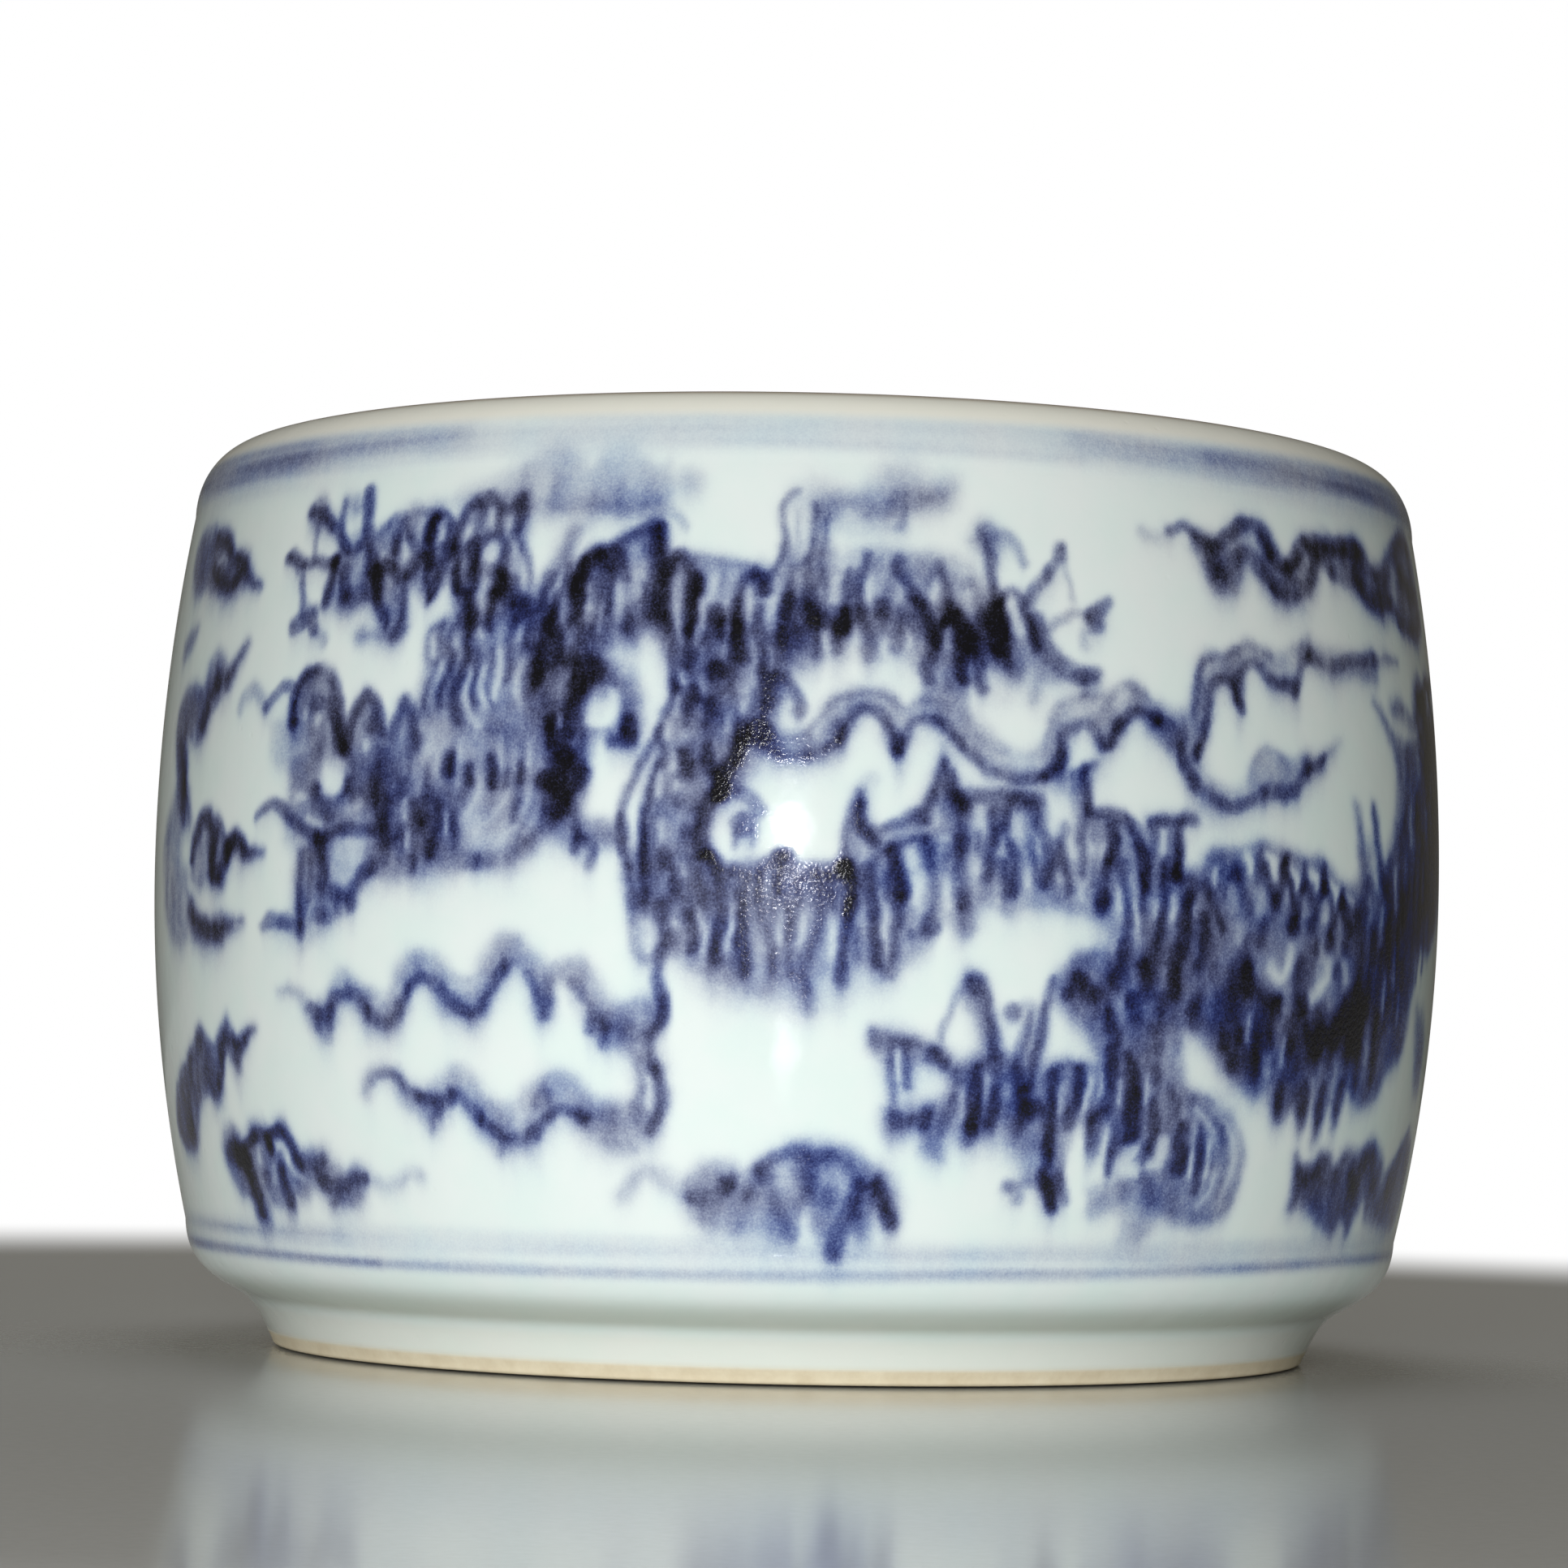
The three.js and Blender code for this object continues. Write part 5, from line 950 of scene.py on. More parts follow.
def cloud_left(p):
    p.wash(1.25, (-70, 20.6), (-69, 22.3), (-67, 22.6), (-65, 22.1), (-63.4, 23.2), (-61.6, 23.5),
        (-60, 22.9), (-58.4, 23.6), (-56.8, 23.4), (-55.4, 21.8), (-54, 20.9), (-51.4, 21.3), (-49.6, 20.2),
        (-48.2, 19.1), (-46.6, 19.7), (-45, 18.9), (-45.4, 17.6), (-46.4, 16), (-49, 15.7), (-50.7, 15.2),
        (-51.6, 16.8), (-53.4, 17.2), (-55.2, 16), (-56.8, 16.4), (-57.2, 14.9), (-59, 15.1), (-61.4, 15.3),
        (-62, 13.8), (-63.6, 13.3), (-64.8, 14.6), (-65.4, 16.1), (-67.4, 16.3), (-69.4, 18), (-70.2, 19.4))
    p.wipe(0.85, 0.9, (-62.7, 20.9), (-62.6, 19.8))
    p.wipe(0.9, 1.5, (-58.9, 21.2), (-58, 21), (-57.2, 20.2))
    p.wipe(0.8, 0.9, (-57, 19.6), (-56, 18.7), (-54.8, 18.4))
    p.wipe(0.5, 0.8, (-59.9, 19), (-60.2, 17.8))
    p.line(3.5, 2.2, (-68.2, 20.4, 0.8), (-66.6, 20.1), (-65.2, 19.6), (-64.5, 18.2, 0.8),
        (-63.9, 16.6, 0.7), (-63.3, 14.6, 0.7), soft=0.3)
    p.line(2.62, 1.2, (-65, 20.9), (-63.4, 21.8), (-62, 22.2), (-60.8, 21.7), (-60.1, 20.8))
    p.line(2, 1.2, (-60.4, 21.6), (-59.2, 22.4), (-57.6, 22.4), (-56.4, 21.4), (-55.6, 20.4), (-54.8, 19.5))
    p.line(2.12, 1.7, (-58.5, 18.6, 0.8), (-58.3, 17.2), (-57.9, 15.9))
    p.dabs(0.88, 1.5, 2, (-61.6, 18), (-60.6, 21.2, 0.6))
    p.line(1, 1.4, (-54, 19.8), (-52.4, 19.6), (-51, 20.2))
    p.line(1, 1.4, (-52, 18.4), (-50.4, 17.9), (-48.8, 17.7), (-47, 18.2))
    p.line(0.88, 1, (-49.6, 16.6), (-50.5, 15.7))
    p.line(1, 1, (-46.4, 18.6), (-45.2, 18.5))
    p.line(0.5, 1.1, (-45, 18.5), (-43.6, 18), (-42.2, 17.6), (-40.8, 18.1), (-39.6, 18.8),
        (-38.4, 18.8), soft=0.3)


def clouds_far_left(p):
    p.wash(1.75, (-65.4, 76.6), (-67, 78.8), (-69, 79.6), (-70.6, 79.4), (-72.4, 81.4), (-75, 82.2),
        (-80, 83), (-84, 82.4), (-85, 79.6), (-82, 76.6), (-78, 76.8), (-74.6, 76.6), (-70, 74.9),
        (-67.6, 76), soft=0.4)
    p.wipe(0.6, 1, (-75, 79.2), (-73.6, 79.4), (-72.6, 78.8))
    p.line(2.03, 1.3, (-76, 81.6), (-73.8, 81.3), (-72.2, 80.4), (-70.8, 79.2), (-69.2, 78.8),
        (-67.8, 78.4), (-66.8, 77.4), (-65.4, 76.3, 0.7), (-63.4, 75.7, 0.5), soft=0.3)
    p.line(2.03, 1.6, (-76, 78.2), (-73.6, 77), (-71.6, 76.4), (-69.8, 76.2), (-68.2, 77), soft=0.3)
    p.line(1.08, 1.8, (-82.6, 70.6), (-80.8, 71.4), (-79, 72.4, 0.6), soft=0.4)
    p.wash(1.75, (-67, 67.2), (-68.4, 68), (-70.8, 69.3), (-73, 68), (-74.4, 66.2), (-78, 66.6),
        (-81.6, 65), (-82.4, 62), (-80.8, 58), (-79, 54), (-77, 53), (-77.4, 58), (-78, 61.4),
        (-75.6, 60.8), (-73, 61.4), (-71, 64), (-68.6, 65.4), soft=0.4)
    p.line(2.03, 1.7, (-64.8, 69.8, 0.4), (-66.2, 68.4, 0.6), (-67.6, 66.8), (-69.4, 66.9), (-71, 66.4),
        (-72.2, 64.8), (-73.2, 62.6), soft=0.3)
    p.line(1.22, 1.2, (-79.6, 60.4), (-78.4, 57.8), (-76.8, 55.2), (-75.6, 53), soft=0.35)
    p.line(0.68, 1.4, (-64.6, 63.6, 0.7), (-63.6, 64.8), (-62.2, 65.4), (-61, 64.8), (-60, 63.8), soft=0.25)
    p.wash(0.8, (-76.4, 56), (-79.6, 57), (-83.6, 54), (-85.6, 50), (-84, 44), (-80, 40.6), (-76, 41.4),
        (-75.8, 47), (-78.6, 50), soft=0.5)
    p.line(2.4, 1.6, (-74.6, 49.4, 0.7), (-73.6, 51.4), (-71.8, 53), (-69.6, 52.8), (-68.4, 51), (-69, 49),
        (-68.6, 47.6), (-67, 47.6), (-65.8, 49.6), (-64.4, 50.8), (-63, 50), (-62, 49.1, 0.8),
        (-60.4, 49.3, 0.6), (-59, 49.2, 0.4), soft=0.25)
    p.line(0.94, 1.2, (-67.4, 52), (-66.4, 50.6), (-65.4, 49.6))
    p.wash(0.9, (-74.6, 47.2), (-74.6, 50.4), (-72.6, 52.8), (-69.8, 53.2), (-68.6, 50.6), (-69, 47.2),
        (-72, 46.2))
    p.wash(1.6, (-69.6, 53.2), (-67.6, 52.6), (-66, 51.2), (-64, 51), (-62.4, 50.2), (-61.4, 49.4),
        (-62.6, 48.6), (-64.4, 48.9), (-65.8, 48), (-66.6, 46.6), (-68.2, 46.6), (-69.2, 47.8),
        (-69.6, 49.6), soft=0.3)
    p.wash(1.6, (-75.4, 45.4), (-74, 45.2), (-72.4, 43.8), (-70, 43.4), (-67.4, 43.6), (-65, 42.9),
        (-64.2, 42.2), (-65.4, 41.4), (-67.6, 40.6), (-70.4, 40.5), (-73, 41.2), (-75, 42.6), soft=0.35)
    p.line(1.5, 1.8, (-74.6, 44.2), (-73.2, 43.4), (-70.8, 42.4), (-68.6, 41.7), (-66.8, 42),
        (-65, 42.4, 0.6), (-62.8, 42.7, 0.4), soft=0.3)
    p.dabs(1.35, 1.6, 1.8, (-68, 41.9), (-73.8, 43.6, 0.8))
    p.wash(2.45, (-60.8, 32.4), (-62.8, 32.2), (-64.6, 31.6), (-66.4, 33.2), (-68.2, 32.2), (-69.6, 30.8),
        (-71.4, 31.6), (-73.2, 32.6), (-75.4, 31.2), (-79, 29), (-80.4, 28.4), (-85, 25), (-85.4, 21.6),
        (-81, 20.2), (-77.4, 21.4), (-75, 25.4), (-72.4, 26), (-70, 25.1), (-68.4, 26.8), (-67, 29.8),
        (-65.6, 29), (-64.6, 28.2), (-63.4, 30.2), soft=0.3)
    p.line(1.76, 1.3, (-68, 30.4), (-68.4, 28.4), (-69.2, 26.8))
    p.line(1.08, 1.2, (-63, 31.2), (-64.4, 30.2), (-65, 29.2))
    p.line(1.22, 1.2, (-67.4, 31.6), (-65.8, 31.2), (-64.6, 30.8))
    p.dabs(1.22, 2.4, 3, (-79.4, 22.8), soft=0.4)


def right_mass(p):
    p.wash(1.85, (61, 47.4), (63.4, 46.4), (66, 49.4), (68.6, 48.4), (70.2, 50.8), (73.4, 53.8), (75.8, 58),
        (76.4, 62.6), (80, 64), (86, 66.4), (92, 65), (95, 60), (94.6, 53), (91, 47), (86, 43), (81, 43.2),
        (79.4, 38), (77.6, 33), (74.6, 30.6), (71, 28), (67.6, 27.4), (64.6, 28.4), (63.4, 25.4),
        (61.6, 27.4), (59.8, 24.2), (58.2, 27.2), (56.6, 25.2), (55, 27.2), (52.8, 25.4), (51.2, 28.4),
        (56, 32), (60, 34), (63, 38), (64, 43), soft=0.35)
    p.wash(0.62, (66, 40), (70, 47), (76, 52), (82, 60), (90, 60), (92, 52), (86, 45), (79, 42), (77, 35),
        (70, 33), (64, 34), soft=0.6)
    p.gaps(0.55, 0.9, 4.4, (61.7, 30), (64.7, 30.8, 0.7), (58, 28.4, 0.6), (69.4, 44.6), (72.6, 48.6),
        (66.6, 46.6, 0.7), (77, 55), (81.6, 57), (86, 56), (73.2, 41), (70.6, 38, 0.8), (74.8, 36.6, 0.8),
        (82, 50), (87.4, 50.4, 0.8))
    p.dabs(1.38, 1.4, 3.6, (56.5, 27.8), (59.8, 27.4, 1.1), (63.3, 28), (52.7, 27.8, 0.9), (66.4, 30.6),
        (70, 30.8))
    p.dabs(1.3, 1.2, 3.6, (67.8, 42.4), (71.2, 44.4), (75, 46.6), (78.8, 49), (75.4, 40.4), (80.4, 46.2),
        (84.6, 48.4), (79.4, 56.6), (84, 59), (88.8, 56.8), (72.2, 36), (66, 36.4))
    for column in range(11):
        lean = 65.0 + 2.3 * column
        foot = 29.4 + 1.5 * column + 1.2 * math.sin(2.3 * column)
        p.line(1.0, 0.9, (lean, foot + 13.0, 0.6), (lean - 0.4, foot + 9.0), (lean - 0.2, foot + 5.0),
               (lean - 0.6, foot, 0.7))
    p.line(1.26, 0.9, (63.6, 56.4, 0.6), (64, 54), (64.8, 51), (65.2, 48.8), soft=0.3)
    p.line(2.3, 1.1, (67, 56.2, 0.6), (67.8, 53.4), (68.7, 50.8), (70, 48.4), soft=0.3)
    p.wash(0.55, (64, 54), (66.6, 52.6), (67.4, 49.6), (65.4, 48.8), soft=0.4)
    p.wash(1.41, (72.2, 63.4), (76, 63), (76.4, 58), (74, 53.6), (70.4, 51), (72.6, 56),
        (73.2, 60), soft=0.4)
    p.line(1.15, 1, (68, 67, 0.5), (69.6, 66), (71, 64.8), (72.4, 63.6), soft=0.3)
    p.line(1.26, 1.5, (73, 66.6), (76, 66.5), (79.4, 65.6), (82.6, 67.4), (86, 68.4), (90, 68.6), soft=0.4)
    p.line(0.92, 1.2, (69, 71.2), (72, 71.6), (75.4, 71.1, 0.5), soft=0.3)
    p.wash(1.72, (66, 82.6), (68.6, 82.6), (70.6, 80.6), (73, 80.6), (76.4, 82.4), (80, 84.2), (84, 85.4),
        (88, 84), (88, 77), (84, 74.2), (79, 74.8), (75.4, 76.8), (72, 75.9), (69, 76.2),
        (66, 78.2), soft=0.4)
    p.wipe(0.7, 2.2, (76.8, 81), (77, 78.8), soft=0.4)
    p.line(1.72, 1.6, (67, 82), (68.8, 81.6), (70.4, 80.2), (72.4, 79.6), (74.4, 80.4), (76.6, 82),
        (79.2, 83.4), (82, 84.2), (85.4, 84.2), soft=0.3)
    p.line(1.72, 1.7, (66.4, 79), (68.4, 77.8), (70.8, 77.2), (73, 77.8), (75.4, 77.2), (77.8, 75.8),
        (80.8, 75.2), (84.6, 75.4), (87.6, 76.8), soft=0.3)
    p.line(1.84, 2.4, (80.4, 80.6), (83.4, 79.6), (86.6, 79.4), soft=0.4)
    p.wash(1.9, (56.8, 22.4), (58, 21.2), (60, 21.6), (61.8, 22.8), (63.2, 22.4), (64.4, 21.3),
        (66.2, 22.6), (68.2, 22.4), (70.4, 22.9), (72.6, 23.6), (75, 22.9), (76.8, 21.5), (78.4, 20.6),
        (80.4, 21.4), (83.4, 23.4), (87, 24.4), (90, 22), (89, 16), (84, 14.8), (78.4, 15.3), (74.8, 15.9),
        (73, 17.8), (71.6, 16.6), (70.2, 14.6), (68.4, 16), (66.4, 14.8), (63.8, 15.4), (61.4, 16.8),
        (59, 17.4), (57.2, 17.2), (57, 19.4), soft=0.35)
    p.line(1.38, 1.5, (57.6, 20.6), (58.8, 19.8), (60.4, 20.4), (61.8, 21.6), soft=0.3)
    p.line(1.15, 1.5, (65, 19.8), (66.4, 21.4), (68, 20.6), (69.4, 19.4), (70.6, 21.6), (72.8, 22.2),
        (74.4, 20.8), (75.6, 18.8), soft=0.35)
    p.dabs(1.38, 2.8, 3, (81.4, 18.8), (69.8, 18.8, 0.7), soft=0.4)
    p.wash(1.25, (82, 36.6), (85, 36), (88, 33), (87.6, 28.6), (84.6, 30.2), (83, 33), soft=0.6)


# The back, out of the photo's sight
def cloud_head(p):
    """A curled head that closes a cloud's blunt end, at the sheet's corner."""
    p.wash(0.7, (-2, 2.6), (1.6, 4.4), (5.4, 3.8), (7.6, 0.8), (6.4, -2.4), (3.2, -3.6), (1, -2.2),
        (-2, -2.6))
    p.line(1.5, 1.2, (-2.4, 2.4, 0.6), (1.4, 4.2), (5.2, 3.6), (7.2, 0.8), (6, -2.2), (3.2, -3),
        (1.6, -1.2), (2.6, 0.8), (4.4, 0.6, 0.6))
    p.line(1.2, 1.1, (-2.4, -2.4, 0.6), (0, -2.6), (1.4, -3.8), (0.8, -5.4, 0.5))
    p.dabs(1.4, 1.3, 2.6, (5.6, -3.6), (3.4, -4.8, 0.8), (6.6, 2.2))


def coil(p, *stops):
    """A length of the dragon's body through stops of (u, z, width). Its back is on the left of its way."""
    p.line(0.9, 1.0, *stops, soft=0.5)
    path = smooth_path(stops)
    reach = np.concatenate([[0.0], np.cumsum(np.hypot(*np.diff(path[:, :2], axis=0).T))])
    steps = np.arange(0.8, reach[-1], 2.3)
    steps += 0.35 * np.sin(1.7 * steps)
    u, z, width = (np.interp(steps, reach, column) for column in path.T)
    run = np.stack([np.gradient(u), np.gradient(z)])
    run /= np.hypot(*run)

    def at(step, share, along=0.0):
        """A place at the step, out from the body's middle by a share of its width, and on along it."""
        out = share * width[step]
        ahead, rise = run[:, step]
        return (u[step] - out * rise + along * ahead, z[step] + out * ahead + along * rise)

    for share, load in ((0.47, 0.8), (-0.47, 0.7), (0.02, 0.5)):
        p.line(load, 0.9, *[at(step, share) for step in range(0, len(steps), 2)])
    for step in range(len(steps)):
        heavy = 1 + 0.45 * math.sin(2.4 * step) * math.cos(0.5 * step)
        p.line(1.1 * heavy, 1.1, at(step, -0.06), at(step, -0.3, 0.5), at(step, -0.46, 0.3) + (0.6,))
        p.wipe(0.4, 0.9, at(step, -0.14, 1.1), at(step, -0.4, 1.4))
        inner = 0.08 + 0.06 * math.sin(1.9 * step)
        p.line(1.7 * heavy, 1.6, at(step, inner), at(step, inner + 0.1, 0.4))
        p.line(1.5, 1.3, at(step, inner + 0.2), at(step, inner + 0.29, 0.4))
        p.wipe(0.45, 0.9, at(step, inner + 0.06, 1.2), at(step, inner + 0.22, 1.3))
        tip = 0.58 + 0.09 * math.sin(2.1 * step)
        p.line(1.5 * heavy, 1.4, at(step, 0.46), at(step, tip, -0.9) + (0.35,))


def paint_back(p):
    coil(p, (88, 54, 19), (96, 60, 17), (106, 65, 15.5), (118, 65, 15), (129, 58, 14.5), (137, 48, 14),
         (146, 40, 13), (157, 38, 12), (167, 43, 11), (175, 51, 10), (184, 57, 9), (194, 58, 7.5),
         (203, 54, 6), (209, 48, 4.5), (215, 44, 3))
    for part, *place in (
        (leg, 94, 1, 1), (claws, 94, 1, 1), (leg, 202, 3, -1), (claws, 202, 3, -1),
        (tail_tufts, 196, -20, 1), (tail_tufts, 203, -28, 1), (cloud_upper, 76, 1, 1),
        (cloud_head, 143, 80, 1), (cloud_upper, 252, 0, -1), (cloud_head, 185, 79, -1),
        (cloud_upper, 212, -1, 1), (cloud_head, 279, 78, 1), (flame_fork, 172, 6, 1),
        (cloud_head, 240, 75, 1), (flame_fork, 212, -26, 1), (cloud_head, 280, 43, 1),
        (cloud_left, 150, 48, 1), (cloud_left, 256, 0, 1), (cloud_left, 164, 1, -1),
        (cloud_under, 205, 0, 1), (cloud_under, 246, 14, -1), (ribbon_upper, 318, 21, 1),
        (cloud_head, 305, 57, 1), (ribbon_lower, 314, -3, 1), (cloud_head, 302, 22, 1),
        (cloud_left, 355, 50, 1),
    ):
        p.shift = place
        part(p)
    p.shift = (0.0, 0.0, 1.0)


# The cover's sheet, unrolled in the same way: z is how far out from the middle a place is
def paint_cover(p):
    for part, count, *place in ((cloud_left, 6, 73, 22, 1), (cloud_under, 4, 20, 6, 1)):
        for turn in range(count):
            p.shift = (place[0] + turn * COVER_ROUND / count, *place[1:])
            part(p)
    p.shift = (0.0, 0.0, 1.0)


def rings(p):
    """The blue lines round the drum: a thin and a pale one at the foot, and a band under the lip."""
    p.line(0.62, 0.75, (-110, 10.8), (-75, 10.7), (-45, 10.45), (0, 10.55), (20, 10.9), (35, 11.1),
        (55, 11.5), (75, 11.7), (110, 11.7), (160, 11.4), (212, 11.1), (265, 11), (320, 10.8), soft=0.22)
    p.line(0.8, 0.7, (-104, 10.8, -1.4), (-96, 10.8, -0.2), (-88, 10.75, 0.8), (-75, 10.7),
        (-45, 10.45, 0.4), soft=0.2)
    p.line(0.2, 0.6, (50, 11.4, 0.4), (75, 11.7), (100, 11.7, 0.4), (118, 11.6, -1.4), soft=0.2)
    p.line(0.27, 1.9, (-110, 12.7), (-60, 12.6), (-20, 12.6), (0, 12.6), (40, 12.9), (75, 13.3),
        (110, 13.2), (212, 12.8), (320, 12.7), soft=0.35)
    p.line(0.3, 0.5, (-104, 12.8, -2), (-90, 12.8, 0.4), (-75, 12.8), (-50, 12.9, 0.4), soft=0.3)
    p.line(0.24, 2.8, (-110, 88.5), (-60, 88.5), (-20, 88.9), (20, 88.9), (60, 88.4), (110, 88.4),
        (212, 88.6), (320, 88.5), soft=0.7)
    p.line(0.14, 0.6, (-40, 87.4), (-15, 87.6), (0, 87.6), (14, 87.4), (28, 87.2), soft=0.3)
    p.line(0.75, 2.6, (-105, 88.4, -1.6), (-97, 88.4, -0.6), (-90, 88.3, 0.4), (-83, 88.3), (-62, 88.3),
        (-54, 88.5, 0.8), (-46, 88.8, 0.5), (-36, 89, 0.2), soft=0.8)
    p.line(0.7, 2.2, (-104, 88.3, -1.8), (-96, 88.3, -0.6), (-89, 88.2, 0.5), (-82, 88.1), (-66, 88.1, 0.9),
        (-58, 88.4, 0.3), soft=0.8)
    p.line(0.4, 2.6, (28, 89.2, 0.4), (36, 89), (48, 88.7), (60, 88.4), (80, 88.4), (104, 88.4, 0.6),
        (122, 88.4, -0.4), (140, 88.4, -1.6), soft=0.9)
    p.line(0.6, 2.2, (44, 88.7, 0.4), (54, 88.5, 0.9), (66, 88.2), (80, 88.3), (98, 88.4, 0.5),
        (116, 88.4, -0.5), (132, 88.4, -1.8), soft=0.9)
    p.line(0.4, 1.8, (64, 88, 0.4), (74, 88.1), (94, 88.4, 0.4), (112, 88.4, -1.2), soft=0.5)


def paint_front(p):
    for part in (
        body_front, flank, leg, right_mass, raised_claw, raised_arm, brow, muzzle, chin, cheek, beard, spine,
        horn_hook, neck_lines, mane, brow_ridge, back_fringe, tail_tufts, flame, flame_fork, cloud_upper,
        body_columns, belly_eye, flank_scales, claws, cloud_under, ribbon_upper, ribbon_lower, cloud_left,
        clouds_far_left,
    ):
        part(p)


# The most cobalt that the colours tell apart, and how far firing darkens the brushed loads
INK_FULL = 5.05
FIRING = 1.08

# The painting's softness: the cobalt runs down a little in the glaze, and its edges waver
BLEED_LENGTH = 1.1
BLEED_SHARE = 0.25
WIDE_WAVER = 0.6
FINE_WAVER = 0.35


def mottle(shape, rows_reach, columns_reach):
    """Smooth seeded noise that joins up at the sheet's edges, with a spread of 1."""
    rows = np.fft.fftfreq(shape[0])[:, None] * rows_reach
    columns = np.fft.rfftfreq(shape[1])[None, :] * columns_reach
    keep = np.exp(-2 * math.pi**2 * (rows**2 + columns**2))
    soft = np.fft.irfft2(np.fft.rfft2(rng.standard_normal(shape)) * keep, shape)
    return soft / soft.std()


def bleed(ink, step):
    keep = 1 - math.exp(-step / BLEED_LENGTH)
    run = ink.copy()
    for row in range(len(ink) - 2, -1, -1):
        run[row] = ink[row] * keep + run[row + 1] * (1 - keep)
    return (1 - BLEED_SHARE) * ink + BLEED_SHARE * run


def sample(sheet, rows, columns):
    """Reads the sheet between its places. Columns wrap round, and rows stop at the edges."""
    rows = np.clip(rows, 0, sheet.shape[0] - 1.001)
    low_row = np.floor(rows).astype(int)
    low_column = np.floor(columns).astype(int)
    up = rows - low_row
    across = columns - low_column
    left = low_column % sheet.shape[1]
    right = (low_column + 1) % sheet.shape[1]
    low = sheet[low_row, left] * (1 - across) + sheet[low_row, right] * across
    high = sheet[low_row + 1, left] * (1 - across) + sheet[low_row + 1, right] * across
    return low * (1 - up) + high * up


def waver(shape, rows, columns):
    """How far the brush strays at each place, in steps of the paper."""
    wide = sample(mottle(shape, 7, 7), rows, columns)
    fine = sample(mottle(shape, 2.5, 2.5), rows, columns)
    return WIDE_WAVER * wide + FINE_WAVER * fine


def side_paper():
    return Paper(PAPER_LEFT, PAPER_LEFT + PAPER_ROUND - PAPER_STEP / 2, 0.0, RIM_HEIGHT, PAPER_STEP)


def painted_side(angles, heights):
    """Cobalt at each angle and height of the drum's side."""
    paper = side_paper()
    paint_front(paper)
    paint_back(paper)
    ink = FIRING * bleed(paper.ink, PAPER_STEP)
    shape = ink.shape
    ink *= 1 + 0.14 * mottle(shape, 7, 2.8) + 0.05 * mottle(shape, 2, 1.2)
    rows = heights / PAPER_STEP
    columns = (angles * BELLY_RADIUS - PAPER_LEFT) / PAPER_STEP
    sway = waver(shape, rows, columns)
    lift = waver(shape, rows, columns)
    brushed = sample(ink, rows + lift, columns + sway)
    banding = side_paper()
    rings(banding)
    banded = sample(banding.ink * (1 + 0.16 * mottle(shape, 1.5, 30)), rows, columns)
    return np.clip(brushed + banded, 0, INK_FULL)


# Profiles, as (radius, height) points
def arc(centre, radius, start, end, steps, upright=None):
    turn = np.radians(np.linspace(start, end, steps + 1))
    upright = radius if upright is None else upright
    return np.stack([centre[0] + radius * np.cos(turn), centre[1] + upright * np.sin(turn)], 1)


def bezier(points, steps):
    t = np.linspace(0, 1, steps + 1)[:, None]
    runs = [np.array(point, dtype=float) for point in points]
    while len(runs) > 1:
        runs = [first * (1 - t) + second * t for first, second in zip(runs, runs[1:])]
    return runs[0]


def straight(start, end, steps):
    return bezier([start, end], steps)


# Sizes of the drum's side, its foot and its heel
SHOULDER_HEIGHT = 85.8
SHOULDER_INSET = 3.2
HEEL_HEIGHT = 12.8
HEEL_RADIUS = 63.3
RECESS_HEIGHT = 2.6
RECESS_RADIUS = 48.0
RECESS_FILLET = 1.4
FOOT_RADIUS = 54.0
FOOT_EDGE = 0.5
GROOVE = (57.7, 5.5)

# Sizes of the lip, the ledge and the chamber
CREST_RADIUS = 58.7
LIP_INSET = 5.6
LIP_HEIGHT = 7.2
INNER_LIP = 2.2
MOUTH_RADIUS = 56.5
SEAT_HEIGHT = 84.6
LEDGE_RADIUS = 50.5
LEDGE_NOSE = 1.2
LEDGE_UNDERSIDE = 80.8
FLARE_FOOT = 71.8
WALL = 6.2
FLOOR_HEIGHT = 9.0
FLOOR_FILLET = 9.0

# Sizes of the cover
UNDERSIDE = 84.9
EDGE_RADIUS = 1.3
BROW_RADIUS = 54.6
BROW_HEIGHT = 89.1
SPIGOT_INNER = 45.2
SPIGOT_OUTER = 49.6
SPIGOT_EDGE = 0.8
SPIGOT_TOE = 82.7
VENT_RADIUS = 4.5
VENT_EDGE = 1.1
DOME_TOP = 90.6
COLLAR_RADIUS = 8.7
COLLAR_RISE = 0.9

# The meshes stop at this radius where a flat floor closes them
MIDDLE_HOLE = 0.4
SAME_PLACE = 1e-6


def side_curve(inset, height):
    """Radius of the shallow arc that leaves the belly and stands in from it by the inset at the height."""
    rise = height - BELLY_HEIGHT
    return (rise**2 + inset**2) / (2 * inset)


def side(start, end, offset, steps):
    """The drum's side, two shallow arcs that meet upright at the belly, moved in by the offset."""
    height = np.linspace(start, end, steps + 1)
    rise = height - BELLY_HEIGHT
    upper = side_curve(SHOULDER_INSET, SHOULDER_HEIGHT)
    lower = side_curve(BELLY_RADIUS - HEEL_RADIUS, HEEL_HEIGHT)
    curve = np.where(rise > 0, upper, lower)
    radius = BELLY_RADIUS - curve + np.sqrt((curve - offset) ** 2 - rise**2)
    return np.stack([radius, height], 1)


def joined(*parts):
    """One run of points, without the doubles where two parts meet."""
    points = np.vstack(parts)
    apart = np.hypot(*np.diff(points, axis=0).T) > SAME_PLACE
    return points[np.concatenate([[True], apart])]


